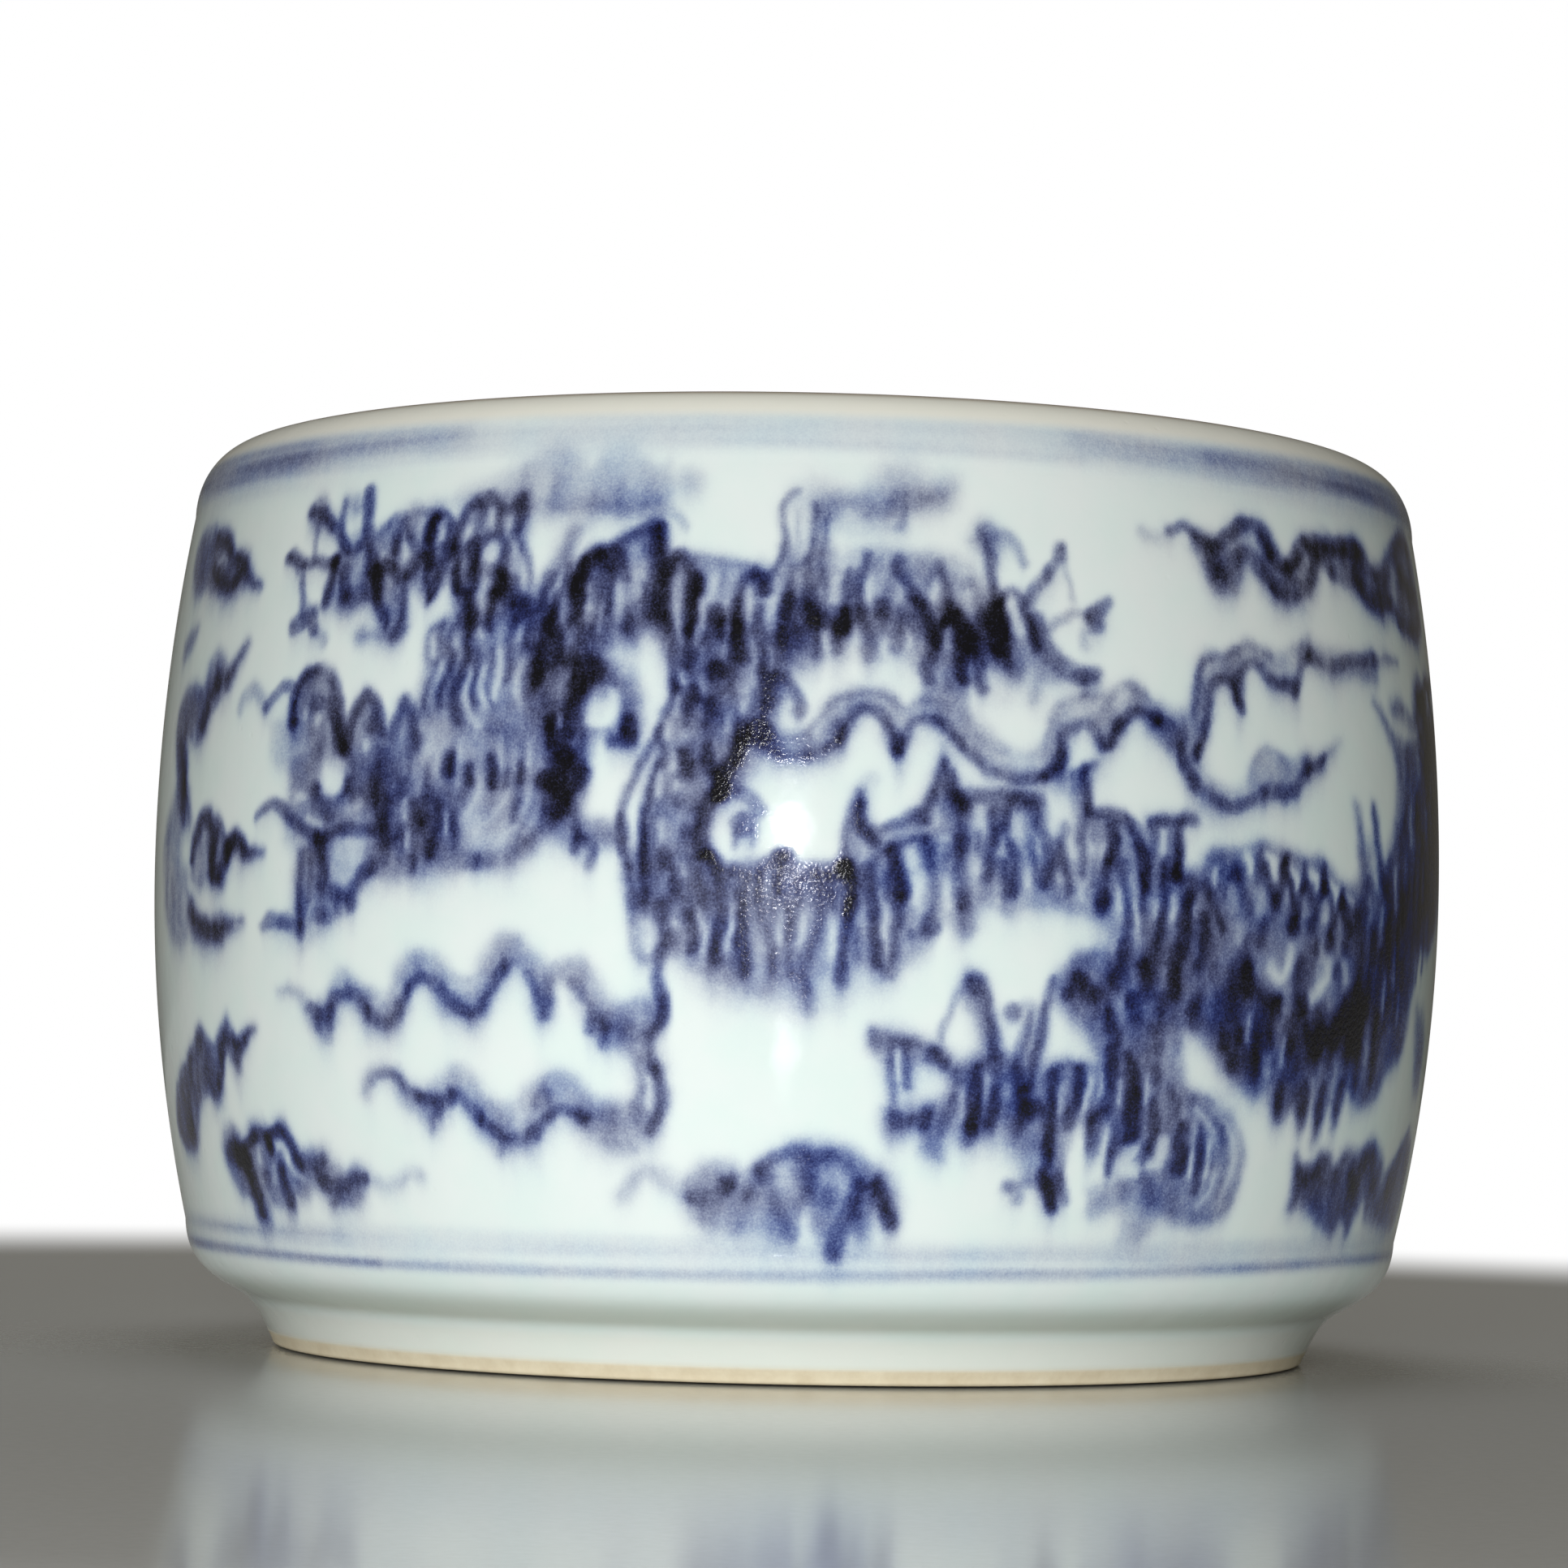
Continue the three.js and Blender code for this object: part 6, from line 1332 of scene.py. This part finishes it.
def foot_profile():
    edge = FOOT_RADIUS - FOOT_EDGE
    inner_edge = RECESS_RADIUS + RECESS_FILLET + FOOT_EDGE
    fillet = RECESS_HEIGHT - RECESS_FILLET
    return joined(
        straight((MIDDLE_HOLE, RECESS_HEIGHT), (RECESS_RADIUS, RECESS_HEIGHT), 24),
        arc((RECESS_RADIUS, fillet), RECESS_FILLET, 90, 0, 6),
        arc((inner_edge, FOOT_EDGE), FOOT_EDGE, 180, 270, 5),
        arc((edge, FOOT_EDGE), FOOT_EDGE, 270, 360, 5),
        bezier([(FOOT_RADIUS, FOOT_EDGE), (55.3, 3.0), (55.9, 4.5), GROOVE], 18),
        bezier([GROOVE, (60.5, 7.0), (63.1, 8.4), (HEEL_RADIUS, HEEL_HEIGHT)], 36),
    )


def mouth_profile():
    roll = RIM_HEIGHT - INNER_LIP
    nose = (LEDGE_RADIUS + LEDGE_NOSE, SEAT_HEIGHT - LEDGE_NOSE)
    return joined(
        arc((CREST_RADIUS, SHOULDER_HEIGHT), LIP_INSET, 0, 90, 30, LIP_HEIGHT),
        arc((CREST_RADIUS, roll), INNER_LIP, 90, 180, 10),
        straight((MOUTH_RADIUS, roll), (MOUTH_RADIUS, SEAT_HEIGHT), 6),
        straight((MOUTH_RADIUS, SEAT_HEIGHT), (nose[0], SEAT_HEIGHT), 5),
        arc(nose, LEDGE_NOSE, 90, 180, 6),
        straight((LEDGE_RADIUS, nose[1] - LEDGE_NOSE), (LEDGE_RADIUS, LEDGE_UNDERSIDE), 2),
    )


def pot_profile():
    fillet_height = FLOOR_HEIGHT + FLOOR_FILLET
    wall = side(FLARE_FOOT, fillet_height, WALL, 22)
    fillet_radius = wall[-1][0] - FLOOR_FILLET
    return joined(
        foot_profile(),
        side(HEEL_HEIGHT, SHOULDER_HEIGHT, 0, 246),
        mouth_profile(),
        straight((LEDGE_RADIUS, LEDGE_UNDERSIDE), wall[0], 5),
        wall,
        arc((fillet_radius, fillet_height), FLOOR_FILLET, 360, 270, 12),
        straight((fillet_radius, FLOOR_HEIGHT), (MIDDLE_HOLE, FLOOR_HEIGHT), 16),
    )


def cover_profile():
    vent_lip = VENT_RADIUS + VENT_EDGE
    collar_top = DOME_TOP + COLLAR_RISE
    collar_foot = COLLAR_RADIUS - COLLAR_RISE
    vent_foot = UNDERSIDE + VENT_EDGE
    vent_top = collar_top - VENT_EDGE
    return joined(
        straight((VENT_RADIUS, vent_top), (VENT_RADIUS, vent_foot), 4),
        arc((vent_lip, vent_foot), VENT_EDGE, 180, 270, 6),
        straight((vent_lip, UNDERSIDE), (SPIGOT_INNER, UNDERSIDE), 20),
        straight((SPIGOT_INNER, UNDERSIDE), (SPIGOT_INNER, SPIGOT_TOE), 3),
        arc((SPIGOT_INNER + SPIGOT_EDGE, SPIGOT_TOE), SPIGOT_EDGE, 180, 270, 5),
        arc((SPIGOT_OUTER - SPIGOT_EDGE, SPIGOT_TOE), SPIGOT_EDGE, 270, 360, 5),
        straight((SPIGOT_OUTER, SPIGOT_TOE), (SPIGOT_OUTER, UNDERSIDE), 3),
        straight((SPIGOT_OUTER, UNDERSIDE), (BROW_RADIUS, UNDERSIDE), 4),
        arc((BROW_RADIUS, UNDERSIDE + EDGE_RADIUS), EDGE_RADIUS, 270, 360, 7),
        arc((BROW_RADIUS, BROW_HEIGHT - EDGE_RADIUS), EDGE_RADIUS, 0, 90, 7),
        bezier([(BROW_RADIUS, BROW_HEIGHT), (31.65, DOME_TOP), (COLLAR_RADIUS, DOME_TOP)], 110),
        arc((collar_foot, DOME_TOP), COLLAR_RISE, 0, 90, 6),
        straight((collar_foot, collar_top), (vent_lip, collar_top), 4),
        arc((vent_lip, vent_top), VENT_EDGE, 90, 180, 6),
    )


def turned(name, profile, angles, closed):
    """A mesh of the profile spun about Z. It is closed on itself, or by a flat disc at each end."""
    count, rounds = len(profile), len(angles)
    radius = profile[:, :1] * MM
    height = np.repeat(profile[:, 1:] * MM, rounds, 1)
    points = np.stack([radius * np.sin(angles), -radius * np.cos(angles), height], 2).reshape(-1, 3)
    rows = np.arange(count if closed else count - 1)[:, None]
    next_rows = (rows + 1) % count
    columns = np.arange(rounds)[None, :]
    next_columns = (columns + 1) % rounds
    corners = ((rows, columns), (rows, next_columns), (next_rows, next_columns), (next_rows, columns))
    quads = np.stack([row * rounds + column for row, column in corners], 2).reshape(-1, 4)
    faces = [tuple(quad) for quad in quads.tolist()]
    if not closed:
        faces.append(tuple(range(rounds))[::-1])
        faces.append(tuple(range((count - 1) * rounds, count * rounds)))
    mesh = bpy.data.meshes.new(name)
    mesh.from_pydata(points.tolist(), [], faces)
    mesh.polygons.foreach_set("use_smooth", np.ones(len(faces), dtype=bool))
    mesh.update()
    piece = bpy.data.objects.new(name, mesh)
    bpy.context.scene.collection.objects.link(piece)
    return piece


def keep_on(piece, name, values):
    """Keeps a value at each point. Values along the profile only are the same all the way round."""
    rounds = len(piece.data.vertices) // len(values)
    if values.ndim == 1:
        values = np.repeat(values[:, None], rounds, 1)
    layer = piece.data.attributes.new(name, "FLOAT", "POINT")
    layer.data.foreach_set("value", np.ascontiguousarray(values, dtype=np.float32).ravel())


def ramp(low, high, values):
    """0 below the low value, 1 above the high one, with a smooth step between. It may run down."""
    t = np.clip((values - low) / (high - low), 0, 1)
    return t * t * (3 - 2 * t)


# Columns stand closer at the front, which carries the finest brushwork
FRONT_REACH = 100.0
FRONT_STEP = 0.3
BACK_STEP = 0.46


def pot_angles():
    front = int(2 * FRONT_REACH / FRONT_STEP)
    back = int((PAPER_ROUND - 2 * FRONT_REACH) / BACK_STEP)
    first = np.linspace(-FRONT_REACH, FRONT_REACH, front, endpoint=False)
    second = np.linspace(FRONT_REACH, PAPER_ROUND - FRONT_REACH, back, endpoint=False)
    return np.concatenate([first, second]) / BELLY_RADIUS


# Materials
WHITE = (1.0, 1.0, 1.0, 1.0)


def linear(red, green, blue):
    """A colour given as 0 to 255 on a screen, in the values that the shaders take."""
    screen = np.array([red, green, blue]) / 255
    light = np.where(screen > 0.04045, ((screen + 0.055) / 1.055) ** 2.4, screen / 12.92)
    return (*light.tolist(), 1.0)


# Painted shade in the groove under the heel, which also stands for glaze pooled there; the glaze at the lip,
# and where the lip is worn; and the two tones of bare clay
POOL_AND_SHADE_COLOUR = linear(166, 174, 154)
CREAM_COLOUR = linear(219, 217, 205)
WORN_COLOUR = linear(158, 136, 112)
CLAY_DARK = linear(196, 180, 150)
CLAY_PALE = linear(232, 224, 200)

# The glaze's own colour, and how strongly a load of cobalt takes up the red, green and blue of the light.
# Where it lies heaped, cobalt takes up more of the blue and a little less of the red.
GLAZE_COLOUR = linear(224, 235, 231)
RED_TAKEN = 1.16
GREEN_TAKEN = 1.03
BLUE_TAKEN = 0.63
HEAPED_RED = 0.03
HEAPED_BLUE = 0.0125
RAMP_STEPS = 11
RAMP_BEND = 1.5


def cobalt_colour(load):
    """The glaze's colour less the light that the load of cobalt takes up."""
    red_taken = RED_TAKEN - HEAPED_RED * load
    blue_taken = BLUE_TAKEN + HEAPED_BLUE * load**2
    taken = (red_taken, GREEN_TAKEN, blue_taken)
    return (*[light * math.exp(-part * load) for light, part in zip(GLAZE_COLOUR, taken)], 1.0)


def feed(tree, socket, value):
    """Links an output to the socket, or sets a constant on it."""
    if isinstance(value, bpy.types.NodeSocket):
        tree.links.new(value, socket)
    else:
        socket.default_value = value


def add(tree, kind, inputs=(), **settings):
    node = tree.nodes.new("ShaderNode" + kind)
    for name, value in settings.items():
        setattr(node, name, value)
    for name, value in dict(inputs).items():
        feed(tree, node.inputs[name], value)
    return node


def maths(tree, operation, *values, clamp=False):
    node = add(tree, "Math", operation=operation, use_clamp=clamp)
    for socket, value in zip(node.inputs, values):
        feed(tree, socket, value)
    return node.outputs[0]


def mixed(tree, factor, first, second, blend="MIX"):
    node = add(tree, "Mix", data_type="RGBA", blend_type=blend)
    for socket, value in zip((node.inputs[0], node.inputs[6], node.inputs[7]), (factor, first, second)):
        feed(tree, socket, value)
    return node.outputs[2]


def noise(tree, place, scale, detail=2.0, roughness=0.5):
    made = add(tree, "TexNoise", {"Vector": place, "Scale": scale, "Detail": detail, "Roughness": roughness})
    return made.outputs["Fac"]


def ranged(tree, value, low, high, start=0.0, end=1.0):
    """Goes from the start at the low value to the end at the high one."""
    limits = {"Value": value, "From Min": low, "From Max": high, "To Min": start, "To Max": end}
    return add(tree, "MapRange", limits).outputs[0]


def cobalt_share(tree, place, ink):
    """The ink with the brush's streaks and the grain and dust of the cobalt, as a share of the most."""
    run = add(tree, "Mapping", {"Vector": place, "Scale": (1.0, 1.0, 0.22)}).outputs["Vector"]
    streaks = maths(tree, "MULTIPLY_ADD", noise(tree, run, 900.0, 2.0), 0.4, 0.82)
    grains = maths(tree, "MULTIPLY_ADD", noise(tree, place, 1500.0, 3.0, 0.6), 0.6, 0.71)
    dust = maths(tree, "MULTIPLY_ADD", noise(tree, place, 5200.0, 1.0), 1.0, 0.5)
    brushed = maths(tree, "MULTIPLY", maths(tree, "MULTIPLY", ink, streaks), grains)
    return maths(tree, "DIVIDE", maths(tree, "MULTIPLY", brushed, dust), INK_FULL, clamp=True)


def fired_colour_and_painted_shade(tree, place, share):
    """The colour of the cobalt under the glaze, which fires more or less blue from place to place, with
    painted shade that darkens it towards the top.
    """
    colours = add(tree, "ValToRGB", {"Fac": share})
    stops = colours.color_ramp.elements
    for step in range(1, RAMP_STEPS):
        share_at = (step / RAMP_STEPS) ** RAMP_BEND
        stops.new(share_at).color = cobalt_colour(share_at * INK_FULL)
    stops[0].color = cobalt_colour(0.0)
    stops[-1].color = cobalt_colour(INK_FULL)
    across, _, rise = add(tree, "SeparateXYZ", {"Vector": place}).outputs
    cloudiness = ranged(tree, noise(tree, place, 150.0, 3.0), 0.38, 0.66, 0.85, 1.25)
    low = ranged(tree, rise, 0.056, 0.068, 0.1, -0.14)
    along = ranged(tree, across, -0.012, 0.02)
    edge = ranged(tree, across, 0.05, 0.064, 0.0, 0.35)
    vivid = maths(tree, "ADD", maths(tree, "MULTIPLY", low, along), edge)
    saturation = maths(tree, "ADD", cloudiness, vivid)
    hue = add(tree, "HueSaturation", {"Color": colours.outputs[0], "Saturation": saturation, "Hue": 0.51})
    # Painted shade: the colour darkens with height, from full at 24 mm up to 0.84 at 80 mm
    painted_shade = ranged(tree, rise, 0.024, 0.08, 1.0, 0.84)
    return mixed(tree, 1.0, hue.outputs["Color"], painted_shade, "MULTIPLY")


def glaze_bump(tree, place, ink):
    """Fine pits and a slow swell in the glaze, and the rough skin of heaped cobalt."""
    pits = add(tree, "TexVoronoi", {"Vector": place, "Scale": 260.0, "Randomness": 1.0})
    pit = ranged(tree, pits.outputs["Distance"], 0.02, 0.09)
    heaped = maths(tree, "MULTIPLY", noise(tree, place, 2600.0, 2.0), maths(tree, "MULTIPLY", ink, 0.3))
    swell = maths(tree, "MULTIPLY", noise(tree, place, 330.0, 2.0), 0.5)
    height = maths(tree, "ADD", maths(tree, "ADD", swell, maths(tree, "MULTIPLY", pit, 0.25)), heaped)
    return add(tree, "Bump", {"Height": height, "Strength": 0.12, "Distance": 0.0006}).outputs["Normal"]


def porcelain(name, roughness):
    material = bpy.data.materials.new(name)
    material.use_nodes = True
    tree = material.node_tree
    shader = tree.nodes["Principled BSDF"]
    place = add(tree, "TexCoord").outputs["Object"]
    ink, bare, cream, pool_and_shade, worn = (
        add(tree, "Attribute", attribute_name=kept).outputs["Fac"]
        for kept in ("ink", "bare", "cream", "pool_and_shade", "worn")
    )
    share = cobalt_share(tree, place, ink)
    # Painted shade: the groove under the heel is mixed towards a darker grey-green, which also stands for
    # glaze pooled there
    glaze_with_groove_shade = mixed(tree, pool_and_shade, fired_colour_and_painted_shade(tree, place, share), POOL_AND_SHADE_COLOUR)
    rim = mixed(tree, worn, mixed(tree, cream, glaze_with_groove_shade, CREAM_COLOUR), WORN_COLOUR)
    clay = mixed(tree, noise(tree, place, 300.0, 4.0, 0.7), CLAY_DARK, CLAY_PALE)
    dull = maths(tree, "MULTIPLY_ADD", bare, 0.6, roughness)
    feed(tree, shader.inputs["Base Color"], mixed(tree, bare, rim, clay))
    feed(tree, shader.inputs["Roughness"], maths(tree, "ADD", dull, maths(tree, "MULTIPLY", share, 0.05)))
    feed(tree, shader.inputs["Normal"], glaze_bump(tree, place, ink))
    feed(tree, shader.inputs["IOR"], 1.5)
    return material


# The pot. Places along its profile are outside up to the rim, and inside after it.
angles = pot_angles()
profile = pot_profile()
pot = turned("pot_glazed_body", profile, angles, False)
radii, levels = profile.T
order = np.arange(len(profile))
rim = int(np.argmax(levels))
painted_rows = (levels > 6.0) & (order < rim + 1)
heights = np.repeat(profile[:, 1:], len(angles), 1)
ink = painted_side(np.repeat(angles[None, :], len(profile), 0), heights)
keep_on(pot, "ink", ink * painted_rows[:, None])
foot_bare = np.where(order < rim, ramp(1.8, 1.35, levels) * (radii > 48.5), 0.0)
on_ledge = (order > rim) & (radii > LEDGE_RADIUS - 0.1) & (radii < MOUTH_RADIUS + 0.1)
ledge_bare = np.where(on_ledge, ramp(85.4, 84.7, levels), 0.0) * ramp(80.0, 82.5, levels)
keep_on(pot, "bare", foot_bare + ledge_bare)
lip_cream = np.where(order < rim + 8, ramp(89.7, 91.0, levels), ramp(89.0, 92.0, levels))
foot_cream = np.where(order < rim, 0.45 * ramp(5.0, 3.8, levels), 0.0)
keep_on(pot, "cream", 0.85 * lip_cream + foot_cream)
# Painted shade in the groove under the heel, which also stands for glaze pooled there, from 4.3 to 8.6 mm up
keep_on(pot, "pool_and_shade", 0.4 * ramp(4.3, 6.0, levels) * ramp(8.6, 6.5, levels) * (order < rim))
keep_on(pot, "worn", 0.75 * ramp(92.3, 92.95, levels))
pot.data.materials.append(porcelain("blue_and_white_glaze", 0.1))
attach(pot, "pot")
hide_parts("pot_body")

# The cover. Its clouds lie between two radii, and its rings are (radius, width, load).
COVER_COLUMNS = 640
CLOUDS_FROM = 10.0
CLOUDS_TO = 54.0
COVER_RINGS = ((52.0, 0.9, 1.9), (50.2, 0.5, 1.3), (13.2, 0.8, 1.7), (11.6, 0.5, 1.2))
RING_SOFT = 0.18

cover_angles = np.linspace(0, 2 * math.pi, COVER_COLUMNS, endpoint=False)
cover_points = cover_profile()
cover = turned("cover_glazed", cover_points, cover_angles, True)
cover_radii, cover_levels = cover_points.T
cover_rings = np.zeros(len(cover_points))
for radius, width, load in COVER_RINGS:
    cover_rings += load / (1 + np.exp((np.abs(cover_radii - radius) - width / 2) / RING_SOFT))
clouds = Paper(0.0, COVER_ROUND - PAPER_STEP / 2, CLOUDS_FROM, CLOUDS_TO, PAPER_STEP)
paint_cover(clouds)
cloudy = FIRING * clouds.ink * (1 + 0.1 * mottle(clouds.ink.shape, 6, 6))
rows = np.repeat((cover_radii[:, None] - CLOUDS_FROM) / PAPER_STEP, COVER_COLUMNS, 1)
columns = np.repeat(cover_angles[None, :] * COVER_MIDDLE / PAPER_STEP, len(cover_points), 0)
on_top = cover_levels > 88.9
cover_ink = (cover_rings[:, None] + sample(cloudy, rows, columns)) * on_top[:, None]
keep_on(cover, "ink", np.clip(cover_ink, 0, INK_FULL))
keep_on(cover, "bare", (cover_levels < 85.0) & (cover_radii > 49.5))
keep_on(cover, "cream", 0.6 * ramp(90.9, 91.4, cover_levels))
cover.data.materials.append(porcelain("cover_glaze", 0.12))
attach(cover, "lid")
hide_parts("cover")

# Floor, pale grey about the pot and fading into the white backdrop beyond it
FADE_START = 0.21
FADE_END = 0.34
FLOOR_SIZE = 8.0
FLOOR_DROP = 0.0002


def floor_paint():
    material = bpy.data.materials.new("studio_floor")
    material.use_nodes = True
    tree = material.node_tree
    shader = tree.nodes["Principled BSDF"]
    place = add(tree, "TexCoord").outputs["Object"]
    speckled = mixed(tree, noise(tree, place, 900.0, 3.0), linear(196, 197, 194), linear(206, 207, 204))
    feed(tree, shader.inputs["Base Color"], speckled)
    feed(tree, shader.inputs["Roughness"], 0.12)
    away = add(tree, "VectorMath", {0: place}, operation="LENGTH").outputs["Value"]
    limits = {"Value": away, "From Min": FADE_START, "From Max": FADE_END}
    fade = add(tree, "MapRange", limits, interpolation_type="SMOOTHSTEP").outputs[0]
    white = add(tree, "Emission", {"Color": WHITE, "Strength": 1.0})
    seen = add(tree, "LightPath").outputs["Is Camera Ray"]
    share = maths(tree, "MULTIPLY", fade, seen)
    shown = add(tree, "MixShader", {0: share, 1: shader.outputs[0], 2: white.outputs[0]})
    feed(tree, tree.nodes["Material Output"].inputs["Surface"], shown.outputs[0])
    return material


bpy.ops.mesh.primitive_plane_add(size=FLOOR_SIZE, location=(0.0, 0.0, -FLOOR_DROP))
floor = bpy.context.object
floor.name = "studio_floor"
floor.data.materials.append(floor_paint())

# World: a faint warm light, and a white backdrop for the camera
scene = bpy.context.scene
scene.view_settings.view_transform = "Standard"
world = bpy.data.worlds.new("studio_world")
world.use_nodes = True
scene.world = world
tree = world.node_tree
seen = add(tree, "LightPath").outputs["Is Camera Ray"]
ambient = tree.nodes["Background"]
feed(tree, ambient.inputs["Color"], (1.0, 0.93, 0.78, 1.0))
feed(tree, ambient.inputs["Strength"], 0.095)
backdrop = add(tree, "Background", {"Color": WHITE, "Strength": 1.0})
shown = add(tree, "MixShader", {0: seen, 1: ambient.outputs[0], 2: backdrop.outputs[0]})
feed(tree, tree.nodes["World Output"].inputs["Surface"], shown.outputs[0])

# Lamps. All of them face the middle of the pot, and only the flash shows in the glaze.
MIDDLE = Vector((0.0, 0.0, 0.045))


def softbox(name, size, place, power, glossy=False):
    lamp = bpy.data.lights.new(name, "AREA")
    lamp.shape = "RECTANGLE"
    lamp.size, lamp.size_y = size
    lamp.energy = power
    light = bpy.data.objects.new(name, lamp)
    scene.collection.objects.link(light)
    light.location = place
    light.rotation_euler = (MIDDLE - Vector(place)).to_track_quat("-Z", "Y").to_euler()
    light.visible_glossy = glossy


softbox("key_box", (0.3, 0.15), (-0.1, -0.76, 0.085), 5.0)
softbox("top_box", (0.4, 0.4), (0.0, 0.1, 1.2), 3.0)
softbox("back_box", (0.9, 0.5), (-0.2, 0.95, 0.45), 3.8)
softbox("flash", (0.03, 0.022), (-0.012, -0.56, 0.078), 0.16, glossy=True)

# Camera, at the photograph's viewing angle
LENS = 105.1
CAMERA_PLACE = Vector((0.0, -0.48566, 0.03024))
PITCH, YAW, ROLL = math.radians(3.472), math.radians(-0.182), math.radians(1.2)
forward = Vector((math.sin(YAW) * math.cos(PITCH), math.cos(YAW) * math.cos(PITCH), math.sin(PITCH)))
level = Vector((math.cos(YAW), -math.sin(YAW), 0.0))
upward = level.cross(forward)
right = math.cos(ROLL) * level + math.sin(ROLL) * upward
up = -math.sin(ROLL) * level + math.cos(ROLL) * upward
camera = bpy.data.objects.new("camera", bpy.data.cameras.new("camera"))
scene.collection.objects.link(camera)
camera.data.lens = LENS
camera.data.clip_start = 0.01
camera.matrix_world = Matrix.Translation(CAMERA_PLACE) @ Matrix((right, up, -forward)).transposed().to_4x4()
scene.camera = camera
